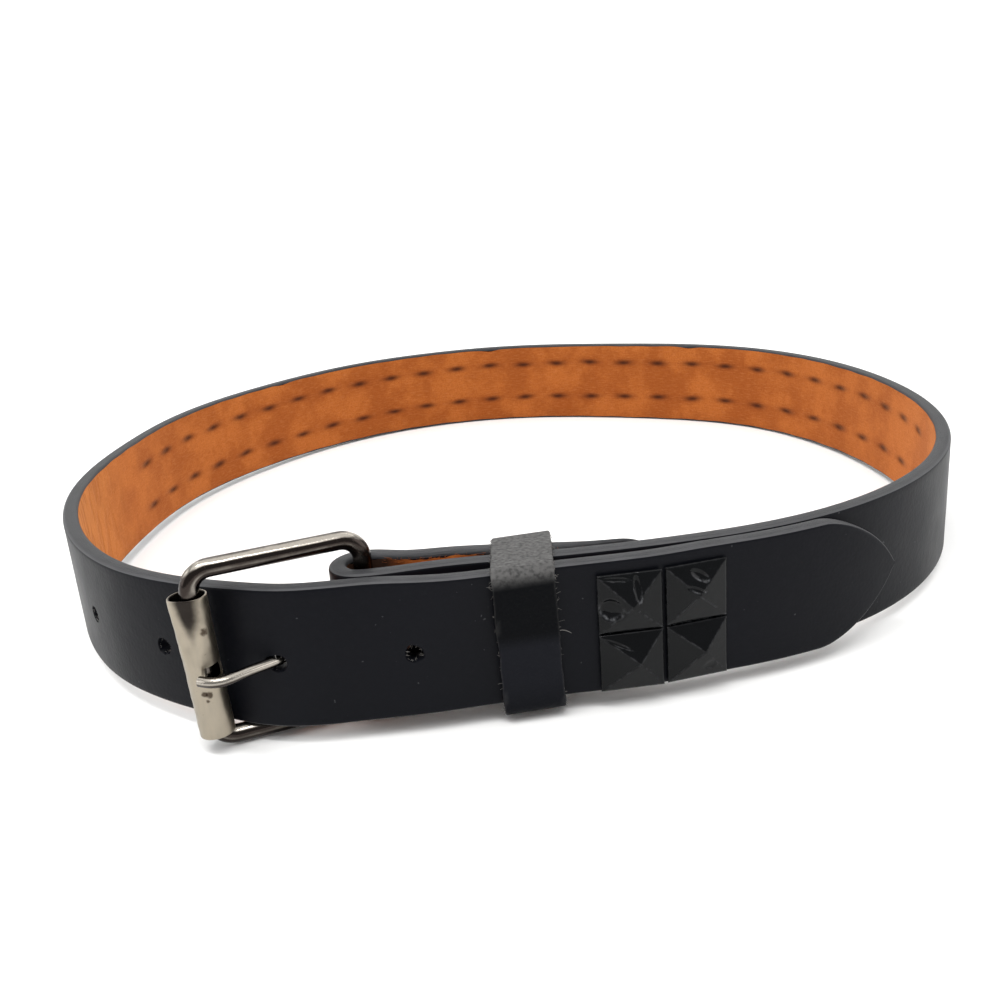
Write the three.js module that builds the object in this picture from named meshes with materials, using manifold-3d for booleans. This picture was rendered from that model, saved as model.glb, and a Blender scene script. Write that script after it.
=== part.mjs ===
// A fastened leather belt with pyramid studs, standing on its edge as a round loop.
// Millimetres, +Z up, +X to the right of the buckle side, -Y towards the buckle side.
// The strap is one strip: flap, fold round the heel bar, the round loop, then the tail over the front.
import * as THREE from 'three';
import { mergeVertices } from 'three/addons/utils/BufferGeometryUtils.js';
import Module from 'manifold-3d';

const wasm = await Module();
wasm.setup();

// Strap: a black top layer on a suede backing
const strapWidth = 30;
const strapWall = 4.0;
const backingWall = 1.0;
const backingInset = 0.7;
const edgeBevel = 0.6;
const loopWidth = 242;
const loopDepth = 226;
const layerGap = 0.3;
const flapLength = 62;
const foldClear = 6.5;
const tailLift = 3.4;
const tailReach = 119.0;
const tipLength = 21.6;
const tipNose = 0.8;

// Holes in the tail, measured from the place where the tail passes the fold
const prongHoleBefore = 19.4;
const holeDrop = 0.8;
const holePitch = 28.8;
const holeRadius = 1.6;
const holesBefore = 2;
const holesAfter = 1;

// Buckle frame
const wireRadius = 2.0;
const railRise = 5.8;
const railDrop = 2.3;
const frameCorner = 4.6;

// Roller on the frame's outer bar
const rollerBefore = 33.2;
const rollerRadius = 3.65;
const rollerSheet = 0.45;
const rollerLength = 30.4;
const rollerMiddle = 15.3;
const rollerLean = 3.2;
const rollerGap = 1.2;
const dentDepth = 0.55;
const dentLength = 17;
const dentRise = 8.5;
const notchHeight = 4.4;
const notchDepth = 2.4;

// Prong
const prongRadius = 1.1;
const prongGap = 0.35;
const prongRise = 0.9;
const prongShort = 3.3;
const eyeTurn = 280;
const slotLength = 9;
const slotHeight = 6;

// Keeper
const keeperAfter = 32.8;
const keeperWidth = 12.9;
const keeperWall = 1.4;
const keeperGap = 0.55;
const keeperCorner = 2.6;
const keeperLean = 1.2;

// Studs
const studSide = 13.1;
const studBand = 0.5;
const studPeak = 2.6;
const studFlat = 0.5;
const studGap = 0.42;
const blockAfter = 53.1;
const blockPitch = 14.05;
const blockRowPitch = 13.4;
const blockDrop = 1.15;
const rowCount = 28;
const rowPitch = 14.15;
const rowSpread = 14.4;
const rowShift = 0;
const bridgeHeight = 6;
const bridgeDepth = 0.4;

// Where the belt's weight acts, from the middle of the loop
const balanceX = -7;
const balanceY = -14;

// Faceting
const loopStep = 6.4;
const foldStep = 1.4;
const tipSteps = 12;
const wireSides = 12;
const cornerSteps = 6;
const rollerSides = 28;
const rollerRings = 10;

// The middle of the wall round the loop. turn: degrees anticlockwise from the right-hand side.
// reach: share of half the loop's width (along X) and depth (along Y).
const loopCourse = [
  { turn: -105.4, reach: 1.055 },
  { turn: -99, reach: 1.012 },
  { turn: -90, reach: 0.994 },
  { turn: -75, reach: 1.006 },
  { turn: -60, reach: 1.04 },
  { turn: -45, reach: 1.056 },
  { turn: -30, reach: 1.045 },
  { turn: -10, reach: 1.011 },
  { turn: 15, reach: 0.991 },
  { turn: 40, reach: 0.991 },
  { turn: 65, reach: 0.952 },
  { turn: 90, reach: 0.978 },
  { turn: 115, reach: 0.991 },
  { turn: 140, reach: 0.971 },
  { turn: 160, reach: 0.975 },
  { turn: 180, reach: 0.988 },
  { turn: 200, reach: 1.051 },
  { turn: 215, reach: 1.107 },
  { turn: 230, reach: 1.154 },
  { turn: 242, reach: 1.157 },
  { turn: 249, reach: 1.146 },
];
const backRow = loopCourse.findIndex((row) => row.turn === 90);

// The flap inside the loop. along: share of flapLength from the fold; open: how far it stands off
// the front leg, as a share of the fold's clear width; thick: share of the wall, pared to its end.
const flapCourse = [
  { along: 0.0, open: 1.0, thick: 1.0 },
  { along: 0.13, open: 0.56, thick: 1.0 },
  { along: 0.28, open: 0.37, thick: 1.0 },
  { along: 0.42, open: 0.24, thick: 1.0 },
  { along: 0.55, open: 0.1, thick: 0.98 },
  { along: 0.68, open: 0.0, thick: 0.82 },
  { along: 0.82, open: 0.0, thick: 0.45 },
  { along: 1.0, open: 0.0, thick: 0.14 },
];

// The tail outside the loop. along: share of tailReach from the fold to the tip;
// open: how far it stands off the front leg, as a share of tailLift.
const tailCourse = [
  { along: 0.0, open: 0.45 },
  { along: 0.1, open: 0.95 },
  { along: 0.18, open: 0.92 },
  { along: 0.3, open: 0.5 },
  { along: 0.42, open: 0.38 },
  { along: 0.5, open: 0.34 },
  { along: 0.58, open: 0.1 },
  { along: 0.68, open: 0.06 },
  { along: 0.8, open: 0.06 },
  { along: 0.92, open: 0.06 },
  { along: 1.06, open: 0.06 },
];

const radians = THREE.MathUtils.degToRad;
const flat = (x, y) => new THREE.Vector2(x, y);
const lift = (p, z) => new THREE.Vector3(p.x, p.y, z);

// Second derivatives of a natural cubic spline through values at the given knots.
function splineBends(knots, values) {
  const count = knots.length;
  const bends = new Array(count).fill(0);
  const ratios = new Array(count).fill(0);
  for (let i = 1; i < count - 1; i++) {
    const before = knots[i] - knots[i - 1];
    const after = knots[i + 1] - knots[i];
    const pivot = 2 * (before + after) - before * ratios[i - 1];
    const change = (values[i + 1] - values[i]) / after - (values[i] - values[i - 1]) / before;
    ratios[i] = after / pivot;
    bends[i] = (6 * change - before * bends[i - 1]) / pivot;
  }
  for (let i = count - 2; i > 0; i--) bends[i] -= ratios[i] * bends[i + 1];
  return bends;
}

// Value of the natural cubic spline at one place.
function splineValue(knots, values, bends, place) {
  let i = 0;
  while (i < knots.length - 2 && place > knots[i + 1]) i++;
  const span = knots[i + 1] - knots[i];
  const b = (place - knots[i]) / span;
  const a = 1 - b;
  const curved = ((a ** 3 - a) * bends[i] + (b ** 3 - b) * bends[i + 1]) * (span ** 2) / 6;
  return a * values[i] + b * values[i + 1] + curved;
}

// A smooth line through points, with places on it found by the distance along it.
function smoothLine(points) {
  const knots = [0];
  for (let i = 1; i < points.length; i++) knots.push(knots[i - 1] + points[i].distanceTo(points[i - 1]));
  const xs = points.map((p) => p.x);
  const ys = points.map((p) => p.y);
  const bendsX = splineBends(knots, xs);
  const bendsY = splineBends(knots, ys);
  const spot = (u) => flat(splineValue(knots, xs, bendsX, u), splineValue(knots, ys, bendsY, u));
  const samplesPerMm = 4;
  const samples = Math.ceil(knots.at(-1) * samplesPerMm);
  const marks = [{ s: 0, p: spot(0) }];
  for (let i = 1; i <= samples; i++) {
    const p = spot(knots.at(-1) * i / samples);
    marks.push({ s: marks[i - 1].s + p.distanceTo(marks[i - 1].p), p });
  }
  const stops = knots.map((u) => marks[Math.round(u / knots.at(-1) * samples)].s);
  const at = (s) => {
    let low = 0;
    let high = samples;
    while (high - low > 1) {
      const half = (low + high) >> 1;
      if (marks[half].s > s) high = half;
      else low = half;
    }
    const share = (s - marks[low].s) / (marks[high].s - marks[low].s);
    const p = marks[low].p.clone().lerp(marks[high].p, share);
    const along = marks[high].p.clone().sub(marks[low].p).normalize();
    return { p, along, face: flat(along.y, -along.x) };
  };
  return { stops, at };
}

const coursePoint = ({ turn, reach }) =>
  flat(Math.cos(radians(turn)) * reach * loopWidth / 2, Math.sin(radians(turn)) * reach * loopDepth / 2);
const offFace = (spot, distance) => spot.p.clone().addScaledVector(spot.face, distance);

// The whole strip's middle line: flap, fold, loop and tail.
function strapLine() {
  const loop = smoothLine(loopCourse.map(coursePoint));
  const start = loop.at(0);
  const foldRadius = (foldClear + strapWall) / 2;
  const foldCentre = offFace(start, -foldRadius);
  const flap = flapCourse.map(({ along, open, thick }) => {
    const standOff = layerGap + open * (foldClear - layerGap);
    return offFace(loop.at(along * flapLength), -strapWall * (1 + thick) / 2 - standOff);
  });
  const fold = [30, 60, 90, 120, 150].map((degrees) => {
    const angle = start.face.angle() + Math.PI + radians(degrees);
    return foldCentre.clone().add(flat(Math.cos(angle), Math.sin(angle)).multiplyScalar(foldRadius));
  });
  const tail = tailCourse.map(({ along, open }) =>
    offFace(loop.at(along * tailReach), strapWall + layerGap + open * tailLift));
  const points = [...flap.reverse(), ...fold, ...loopCourse.map(coursePoint), ...tail];
  const line = smoothLine(points);
  const loopStart = flap.length + fold.length;
  const passing = line.stops[points.length - tail.length];
  return {
    at: line.at,
    foldCentre,
    foldFrom: line.stops[flap.length - 1],
    foldTo: line.stops[loopStart],
    back: line.stops[loopStart + backRow],
    passing,
    end: passing + tailReach,
  };
}

const strap = strapLine();
const outward = (spot, distance) => offFace(spot, strapWall / 2 + distance);

// The strip's thickness: pared away along the flap, full everywhere else.
function wallAt(s) {
  const share = Math.max(strap.foldFrom - s, 0) / strap.foldFrom;
  let i = 0;
  while (i < flapCourse.length - 2 && share > flapCourse[i + 1].along) i++;
  const [a, b] = [flapCourse[i], flapCourse[i + 1]];
  return strapWall * THREE.MathUtils.mapLinear(share, a.along, b.along, a.thick, b.thick);
}

// Half the strip's height at a distance along it: full width, then a rounded point.
function halfHeightAt(s) {
  const share = Math.min(Math.max(strap.end - s, 0) / tipLength, 1);
  const shoulder = 1.6;
  const fullness = 0.75;
  return Math.max((1 - (1 - share) ** shoulder) ** fullness * strapWidth / 2, tipNose);
}

// Turns a closed mesh so that its faces point out.
function facingOut(geometry) {
  const at = geometry.attributes.position;
  const index = geometry.index.array;
  const corner = [new THREE.Vector3(), new THREE.Vector3(), new THREE.Vector3()];
  let volume = 0;
  for (let i = 0; i < index.length; i += 3) {
    corner.forEach((v, k) => v.fromBufferAttribute(at, index[i + k]));
    volume += corner[0].dot(corner[1].clone().cross(corner[2]));
  }
  if (volume < 0) {
    for (let i = 0; i < index.length; i += 3) [index[i], index[i + 1]] = [index[i + 1], index[i]];
  }
  return geometry;
}

// Keeps only the shared corners of a three.js shape.
function welded(geometry) {
  geometry.deleteAttribute('normal');
  geometry.deleteAttribute('uv');
  return facingOut(mergeVertices(geometry, 1e-4));
}

// Closed solid through rings of equal point counts, capped at both ends or joined round.
function loft(rings, joined = false) {
  const around = rings[0].length;
  const faces = [];
  const last = joined ? rings.length : rings.length - 1;
  for (let i = 0; i < last; i++) {
    const next = (i + 1) % rings.length;
    for (let j = 0; j < around; j++) {
      const k = (j + 1) % around;
      faces.push(i * around + j, next * around + j, next * around + k);
      faces.push(i * around + j, next * around + k, i * around + k);
    }
  }
  if (!joined) {
    const end = (rings.length - 1) * around;
    for (let j = 1; j < around - 1; j++) faces.push(0, j, j + 1, end, end + j + 1, end + j);
  }
  const geometry = new THREE.BufferGeometry();
  const positions = rings.flat().flatMap((p) => [p.x, p.y, p.z]);
  geometry.setAttribute('position', new THREE.Float32BufferAttribute(positions, 3));
  geometry.setIndex(faces);
  return facingOut(geometry);
}

// A round wire along points that lie near one plane, whose normal is given.
function wire(points, radius, normal, joined = false) {
  const count = points.length;
  const rings = points.map((p, i) => {
    const before = joined ? points[(i + count - 1) % count] : points[Math.max(i - 1, 0)];
    const after = joined ? points[(i + 1) % count] : points[Math.min(i + 1, count - 1)];
    const ahead = after.clone().sub(before).normalize();
    const side = normal.clone().cross(ahead).normalize();
    const rise = ahead.clone().cross(side);
    return Array.from({ length: wireSides }, (_, k) => {
      const angle = 2 * Math.PI * k / wireSides;
      return p.clone().addScaledVector(side, radius * Math.cos(angle))
        .addScaledVector(rise, radius * Math.sin(angle));
    });
  });
  return loft(rings, joined);
}

function toSolid(geometry) {
  return new wasm.Manifold(new wasm.Mesh({
    numProp: 3,
    vertProperties: new Float32Array(geometry.attributes.position.array),
    triVerts: new Uint32Array(geometry.index.array),
  }));
}

function toGeometry(solid) {
  const mesh = solid.getMesh();
  const geometry = new THREE.BufferGeometry();
  geometry.setAttribute('position', new THREE.BufferAttribute(new Float32Array(mesh.vertProperties), 3));
  geometry.setIndex(new THREE.BufferAttribute(new Uint32Array(mesh.triVerts), 1));
  return geometry;
}

const up = new THREE.Vector3(0, 0, 1);

// Moves a shape made along +Z so that it points out of the strap's face at one spot.
function ontoFace(geometry, spot, height, distance) {
  const frame = new THREE.Matrix4().makeBasis(lift(spot.along, 0), up, lift(spot.face, 0));
  const centre = outward(spot, distance);
  frame.setPosition(centre.x, centre.y, height);
  return geometry.applyMatrix4(frame);
}

// Rounded rectangle as points, from its right-hand side round to the left, top first.
function roundedPath(halfWide, halfHigh, corner) {
  const signs = [[1, 1], [-1, 1], [-1, -1], [1, -1]];
  return signs.flatMap(([signX, signY], quarter) => {
    return Array.from({ length: cornerSteps + 1 }, (_, i) => {
      const angle = Math.PI / 2 * (quarter + i / cornerSteps);
      return flat(
        signX * (halfWide - corner) + corner * Math.cos(angle),
        signY * (halfHigh - corner) + corner * Math.sin(angle));
    });
  });
}

const middleHeight = strapWidth / 2;
const holeHeight = middleHeight - holeDrop;
const prongHoleAt = strap.passing - prongHoleBefore;
const foldSpot = strap.at(strap.foldTo);
const heelBar = strap.foldCentre;
const rollerSpot = strap.at(strap.passing - rollerBefore);
const rollerBar = outward(rollerSpot, rollerGap + rollerRadius);

// The prong's middle line: an open eye round the heel bar, the shank through the tail's hole,
// then a bend that lays the end on the roller.
function prongPath() {
  const hole = strap.at(prongHoleAt).p;
  const eyeRadius = wireRadius + prongGap + prongRadius;
  const toHole = hole.clone().sub(heelBar);
  const leaves = toHole.angle() - Math.acos(eyeRadius / toHole.length());
  const eyeSteps = 16;
  const eye = Array.from({ length: eyeSteps + 1 }, (_, i) => {
    const angle = leaves - radians(eyeTurn) * (1 - i / eyeSteps);
    return heelBar.clone().add(flat(Math.cos(angle), Math.sin(angle)).multiplyScalar(eyeRadius));
  });
  const shank = hole.clone().sub(eye.at(-1)).normalize();
  const across = rollerSpot.along;
  const rest = rollerBar.clone().addScaledVector(rollerSpot.face, rollerRadius + prongRadius + layerGap);
  const tip = rest.clone().addScaledVector(across, prongShort);
  const reach = rest.clone().sub(hole).cross(across) / shank.cross(across);
  const bend = hole.clone().addScaledVector(shank, reach);
  const bendRun = 3 * prongRadius;
  const bendFrom = bend.clone().addScaledVector(shank, -bendRun);
  const bendTo = bend.clone().lerp(tip, bendRun / bend.distanceTo(tip));
  const turned = new THREE.QuadraticBezierCurve(bendFrom, bend, bendTo).getPoints(cornerSteps);
  const run = hole.distanceTo(tip);
  const rising = (p) => lift(p, holeHeight + prongRise * hole.distanceTo(p) / run);
  const behind = hole.clone().addScaledVector(shank, -1.6 * strapWall);
  const outside = [lift(behind, holeHeight), lift(hole, holeHeight), ...[...turned, tip].map(rising)];
  return { all: [...eye.map((p) => lift(p, holeHeight)), ...outside], outside };
}

const prong = prongPath();

// The slot round the fold in which the prong's eye turns.
function foldSlot() {
  const half = slotHeight / 2;
  const deep = foldClear / 2 + strapWall + layerGap;
  const outline = new THREE.Shape();
  outline.moveTo(-deep, -half);
  outline.lineTo(slotLength - half, -half);
  outline.absarc(slotLength - half, 0, half, -Math.PI / 2, Math.PI / 2, false);
  outline.lineTo(-deep, half);
  outline.closePath();
  const slot = new THREE.ExtrudeGeometry(outline, { depth: 2 * deep, bevelEnabled: false, curveSegments: 8 });
  const { along, face } = foldSpot;
  const frame = new THREE.Matrix4().makeBasis(lift(along, 0), up, lift(face, 0));
  const back = strap.foldCentre.clone().addScaledVector(face, -deep);
  frame.setPosition(back.x, back.y, holeHeight);
  return welded(slot.applyMatrix4(frame));
}

// What is cut from both layers of the strap: the punched holes, the prong's way and the fold's slot.
function strapCuts() {
  const cuts = [foldSlot(), wire(prong.outside, prongRadius + prongGap, up)];
  for (let k = -holesBefore; k <= holesAfter; k++) {
    const depth = strapWall + 2 * layerGap;
    const punch = new THREE.CylinderGeometry(holeRadius, holeRadius, depth, 14).rotateX(Math.PI / 2);
    const spot = strap.at(prongHoleAt + k * holePitch);
    cuts.push(ontoFace(welded(punch), spot, holeHeight, -strapWall / 2));
  }
  return cuts.map(toSolid);
}

// Places along the strap where its section is drawn, close together in the fold and at the tip.
function strapStations() {
  const run = (start, end, step) => {
    const count = Math.ceil((end - start) / step);
    return Array.from({ length: count }, (_, i) => start + (end - start) * i / count);
  };
  const tip = Array.from({ length: tipSteps + 1 }, (_, i) =>
    strap.end - tipLength * (1 - Math.sin(Math.PI / 2 * i / tipSteps)));
  return [
    ...run(0, strap.foldFrom, loopStep),
    ...run(strap.foldFrom, strap.foldTo, foldStep),
    ...run(strap.foldTo, strap.end - tipLength, loopStep),
    ...tip,
  ];
}

// A layer of the strap from its sections; each section is a list of [distance off the middle line,
// height from the strap's middle] corners.
function strapLayer(stations, section) {
  const rings = stations.map((s) => {
    const spot = strap.at(s);
    return section(s).map(([off, rise]) => lift(offFace(spot, off), middleHeight + rise));
  });
  return toGeometry(strapCuts().reduce((solid, cut) => solid.subtract(cut), toSolid(loft(rings))));
}

const topWall = strapWall - backingWall - layerGap;

function strapTop() {
  return strapLayer(strapStations(), (s) => {
    const wall = Math.min(topWall, wallAt(s));
    const out = wallAt(s) / 2;
    const inn = out - wall;
    const half = halfHeightAt(s);
    const slope = Math.min(edgeBevel, wall / 3);
    const rise = Math.min(edgeBevel, half / 2);
    return [
      [out, rise - half], [out, half - rise], [out - slope, half], [inn + slope, half],
      [inn, half - rise], [inn, rise - half], [inn + slope, -half], [out - slope, -half],
    ];
  });
}

function strapBacking() {
  const least = topWall + layerGap + backingWall / 3;
  return strapLayer(strapStations().filter((s) => wallAt(s) > least), (s) => {
    const out = wallAt(s) / 2 - topWall - layerGap;
    const inn = -wallAt(s) / 2;
    const half = Math.max(halfHeightAt(s) - backingInset, tipNose / 2);
    return [[out, -half], [out, half], [inn, half], [inn, -half]];
  });
}

// The buckle's wire frame: the heel bar in the fold, the roller's bar outside the tail, two rails.
function buckleFrame() {
  const way = rollerBar.clone().sub(heelBar);
  const halfWide = way.length() / 2;
  way.normalize();
  const top = strapWidth + railRise;
  const middle = heelBar.clone().add(rollerBar).multiplyScalar(0.5);
  const points = roundedPath(halfWide, (top + railDrop) / 2, frameCorner).map((p) =>
    lift(middle.clone().addScaledVector(way, p.x), (top - railDrop) / 2 + p.y));
  return wire(points, wireRadius, new THREE.Vector3(way.y, -way.x, 0), true);
}

// The sheet roller, turned round its bar, with a flattened dent in its upper half
// and a notch on the prong's side.
function roller() {
  const half = rollerLength / 2;
  const lip = rollerSheet / 3;
  const bore = rollerRadius - rollerSheet;
  const steps = Array.from({ length: rollerRings + 1 }, (_, i) => 2 * i / rollerRings - 1);
  const profile = [
    flat(rollerRadius - lip, -half),
    ...steps.map((share) => flat(rollerRadius, share * (half - lip))),
    flat(rollerRadius - lip, half),
    flat(bore + lip, half),
    ...steps.map((share) => flat(bore, -share * (half - lip))),
    flat(bore + lip, -half),
    flat(rollerRadius - lip, -half),
  ];
  const tube = welded(new THREE.LatheGeometry(profile, rollerSides));
  tube.rotateX(Math.PI / 2);
  const at = tube.attributes.position;
  const { face, along } = rollerSpot;
  for (let i = 0; i < at.count; i++) {
    const p = new THREE.Vector3().fromBufferAttribute(at, i);
    const facing = Math.max(face.x * p.x + face.y * p.y, 0) / rollerRadius;
    const share = Math.min(Math.abs(p.z - dentRise) / (dentLength / 2), 1);
    const press = dentDepth * facing ** 2 * (1 + Math.cos(Math.PI * share)) / 2;
    p.addScaledVector(lift(face, 0), -press);
    at.setXYZ(i, p.x, p.y, p.z);
  }
  const lean = new THREE.Matrix4().makeRotationAxis(lift(face, 0), radians(rollerLean));
  lean.setPosition(rollerBar.x, rollerBar.y, rollerMiddle);
  tube.applyMatrix4(lean);
  const notch = new THREE.BoxGeometry(2 * rollerRadius, notchDepth * 2, notchHeight);
  const centre = rollerBar.clone().addScaledVector(face, rollerRadius).addScaledVector(along, rollerRadius);
  const frame = new THREE.Matrix4().makeBasis(lift(along, 0), lift(face, 0).negate(), up);
  frame.setPosition(centre.x, centre.y, prong.outside.at(-1).z + prongRadius);
  return toGeometry(toSolid(tube).subtract(toSolid(welded(notch.applyMatrix4(frame)))));
}

// The keeper: a leather band round all the layers, its section drawn round a rounded rectangle.
function keeper() {
  const middleAt = strap.passing + keeperAfter;
  const spot = strap.at(middleAt);
  const origin = outward(spot, 0);
  const half = keeperWidth / 2;
  let front = 0;
  let back = 0;
  for (let s = middleAt - half; s <= middleAt + half; s += 1) {
    front = Math.max(front, outward(strap.at(s), 0).sub(origin).dot(spot.face));
  }
  for (let s = 0; s < strap.foldFrom; s += 1) {
    const reach = offFace(strap.at(s), wallAt(s) / 2).sub(origin);
    if (Math.abs(reach.dot(spot.along)) < half + 1) back = Math.min(back, reach.dot(spot.face));
  }
  front += keeperGap;
  back -= keeperGap;
  const halfDeep = (front - back) / 2;
  const halfHigh = middleHeight + keeperGap;
  const inside = roundedPath(halfDeep, halfHigh, keeperCorner - keeperWall);
  const outside = roundedPath(halfDeep + keeperWall, halfHigh + keeperWall, keeperCorner);
  const soft = 0.15;
  const edge = soft * keeperWall;
  const section = [
    [edge - half, 0], [half - edge, 0], [half, soft], [half, 1 - soft],
    [half - edge, 1], [edge - half, 1], [-half, 1 - soft], [-half, soft],
  ];
  const rings = inside.map((p, i) => section.map(([x, share]) => {
    const q = p.clone().lerp(outside[i], share);
    return new THREE.Vector3(x, q.y, q.x);
  }));
  const band = loft(rings, true).rotateZ(-radians(keeperLean));
  return ontoFace(band, spot, middleHeight, (front + back) / 2);
}

const square = (half, z) => [[1, 1], [-1, 1], [-1, -1], [1, -1]].map(([x, y]) =>
  new THREE.Vector3(x * half, y * half, z));

// One pyramid stud: a short upright band, then four facets to a small flat top.
const pyramid = () => loft([
  square(studSide / 2, 0), square(studSide / 2, studBand), square(studFlat / 2, studBand + studPeak),
]);

const blockHeight = (row) => middleHeight - blockDrop + (row - 0.5) * blockRowPitch;
const frontStud = (column, row) => ontoFace(
  pyramid(), strap.at(strap.passing + blockAfter + column * blockPitch), blockHeight(row), studGap);

// A row of pyramids round the back, joined by a low strip that follows the strap under them.
function studRow(height) {
  const stripFrom = strap.back + rowShift - (rowCount - 1) / 2 * rowPitch;
  const half = bridgeHeight / 2;
  const strip = Array.from({ length: 2 * rowCount - 1 }, (_, i) => {
    const spot = strap.at(stripFrom + i * rowPitch / 2);
    const [low, high] = [outward(spot, studGap), outward(spot, studGap + bridgeDepth)];
    return [lift(low, height - half), lift(high, height - half), lift(high, height + half),
      lift(low, height + half)];
  });
  const studs = Array.from({ length: rowCount }, (_, i) =>
    toSolid(ontoFace(pyramid(), strap.at(stripFrom + i * rowPitch), height, studGap)));
  return toGeometry(studs.reduce((whole, stud) => whole.add(stud), toSolid(loft(strip))));
}

const leather = new THREE.MeshStandardMaterial({ name: 'black leather', color: '#26282b', roughness: 0.5 });
const suede = new THREE.MeshStandardMaterial({ name: 'orange suede', color: '#b15a2b', roughness: 0.9 });
const nickel = new THREE.MeshStandardMaterial({
  name: 'nickel', color: '#b7b2a8', roughness: 0.28, metalness: 1,
});
const enamel = new THREE.MeshStandardMaterial({ name: 'black stud', color: '#141518', roughness: 0.15 });

const belt = new THREE.Group();
function add(name, geometry, material) {
  geometry.computeVertexNormals();
  const mesh = new THREE.Mesh(geometry, material.clone());
  mesh.name = name;
  belt.add(mesh);
}

add('strap', strapTop(), leather);
add('strap_backing', strapBacking(), suede);
add('keeper', keeper(), leather);
add('buckle_frame', buckleFrame(), nickel);
add('roller', roller(), nickel);
add('prong', wire(prong.all, prongRadius, up), nickel);
['left', 'right'].forEach((side, column) => {
  add(`front_stud_lower_${side}`, frontStud(column, 0), enamel);
  add(`front_stud_upper_${side}`, frontStud(column, 1), enamel);
});
add('back_studs_lower', studRow(middleHeight - rowSpread / 2), enamel);
add('back_studs_upper', studRow(middleHeight + rowSpread / 2), enamel);

// The plane the belt rests on: it touches the lower rail near the heel bar, and the strap's
// edge straight across the point where the weight acts.
function restingNormal() {
  const rail = heelBar.clone().lerp(rollerBar, frameCorner / heelBar.distanceTo(rollerBar));
  const weight = flat(balanceX, balanceY).sub(rail).normalize();
  let far = { turned: -1 };
  for (let s = strap.foldTo; s < strap.passing; s += 1) {
    const spot = strap.at(s);
    const edge = outward(spot, -edgeBevel);
    const turned = edge.clone().sub(rail).normalize().dot(weight);
    if (turned > far.turned) far = { turned, spot, edge };
  }
  const slope = (railDrop + wireRadius) / far.edge.clone().sub(rail).dot(far.spot.face);
  return new THREE.Vector3(-far.spot.face.x * slope, -far.spot.face.y * slope, 1).normalize();
}

belt.quaternion.setFromUnitVectors(restingNormal(), up);
belt.updateMatrixWorld(true);
const box = new THREE.Box3().setFromObject(belt, true);
belt.position.set(-(box.min.x + box.max.x) / 2, -(box.min.y + box.max.y) / 2, -box.min.z);

const studdedBelt = new THREE.Group();
studdedBelt.add(belt);
export default studdedBelt;
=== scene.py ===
"""A fastened leather belt with pyramid studs, standing on its edge as a round loop.

Lengths are worked out in millimetres in the strap's own frame, where z = 0 is the strap's lower
edge and the loop's middle is at x = y = 0. placed() leans that frame onto its resting plane and
turns it to metres.
"""

import bpy
import numpy as np
from mathutils import Matrix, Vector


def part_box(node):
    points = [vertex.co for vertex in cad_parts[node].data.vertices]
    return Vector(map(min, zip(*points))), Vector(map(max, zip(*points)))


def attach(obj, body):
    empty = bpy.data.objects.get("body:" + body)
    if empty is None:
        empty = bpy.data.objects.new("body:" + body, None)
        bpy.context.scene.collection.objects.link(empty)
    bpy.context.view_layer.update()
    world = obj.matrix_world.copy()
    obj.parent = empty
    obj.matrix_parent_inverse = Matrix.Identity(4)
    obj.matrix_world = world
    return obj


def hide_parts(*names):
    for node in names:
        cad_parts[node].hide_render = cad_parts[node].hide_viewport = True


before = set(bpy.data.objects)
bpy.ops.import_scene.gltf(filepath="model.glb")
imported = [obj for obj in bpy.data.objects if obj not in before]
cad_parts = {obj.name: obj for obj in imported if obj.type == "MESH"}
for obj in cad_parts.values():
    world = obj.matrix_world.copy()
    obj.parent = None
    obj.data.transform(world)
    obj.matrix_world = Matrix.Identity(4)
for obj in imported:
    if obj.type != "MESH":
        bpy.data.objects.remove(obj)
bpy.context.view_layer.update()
rng = np.random.default_rng(28)

# Strap. Where it crosses the buckle, its edges lean by STRAP_LEAN and it stands back by STRAP_BACK.
WIDTH = 30.0
WALL = 4.0
LOOP_WIDTH = 242.0
LOOP_DEPTH = 226.0
LAYER_GAP = 0.3
FLAP = 62.0
FOLD_CLEAR = 6.5
TAIL_LIFT = 3.4
TAIL_REACH = 119.0
TIP = 21.6
SUEDE = 0.9
STRAP_LEAN = 1.5
STRAP_BACK = 0.2

# Holes. PRONG_HOLE_BEFORE is measured back along the tail from where it passes the fold. Each hole
# is numbered by its pitches from the prong's hole, and slips so far along the tail.
PRONG_HOLE_BEFORE = 19.4
HOLE_PITCH = 28.8
HOLE_SLIPS = {-2: 0.0, -1: 0.0, 0: 0.0, 1: -1.1}
HOLE_RADIUS = 1.8
HOLE_HEIGHT = WIDTH / 2 - 0.8
HOLE_RIM = 40

# Buckle
WIRE = 2.0
RAIL_RISE = 5.8
RAIL_DROP = 2.3
CORNER = 4.6
ROLLER_BEFORE = 33.2
ROLLER = 3.65
SHEET = 0.45
ROLLER_LENGTH = 31.0
ROLLER_LIP = 0.25
ROLLER_MIDDLE = 15.0
ROLLER_LEAN = 3.2
ROLLER_GAP = 1.2
PRONG = 1.1
PRONG_GAP = 0.35
PRONG_RISE = 0.9
PRONG_SHORT = 3.3
EYE_TURN = 280.0
SLOT_LENGTH = 9.0
SLOT_HEIGHT = 6.0

# Keeper. TOP_GAP and TOP_WALL are over the strap's top edge, DROP is how far it hangs below the
# strap, SHOULDER how far its front top corner stands out, LEAN is in degrees, SHIFT moves it along
# the strap, and TWIST moves its rear only.
KEEPER_AFTER = 32.8
KEEPER_WIDTH = 12.9
KEEPER_WALL = 1.4
KEEPER_GAP = 0.55
KEEPER_CORNER = 2.6
KEEPER_LEAN = -1.4
KEEPER_TOP_GAP = 0.12
KEEPER_TOP_WALL = 0.9
KEEPER_DROP = 0.95
KEEPER_SHOULDER = 0.6
KEEPER_SHIFT = -1.1
KEEPER_TWIST = 2.5
KEEPER_FIBRES = 260

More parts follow.
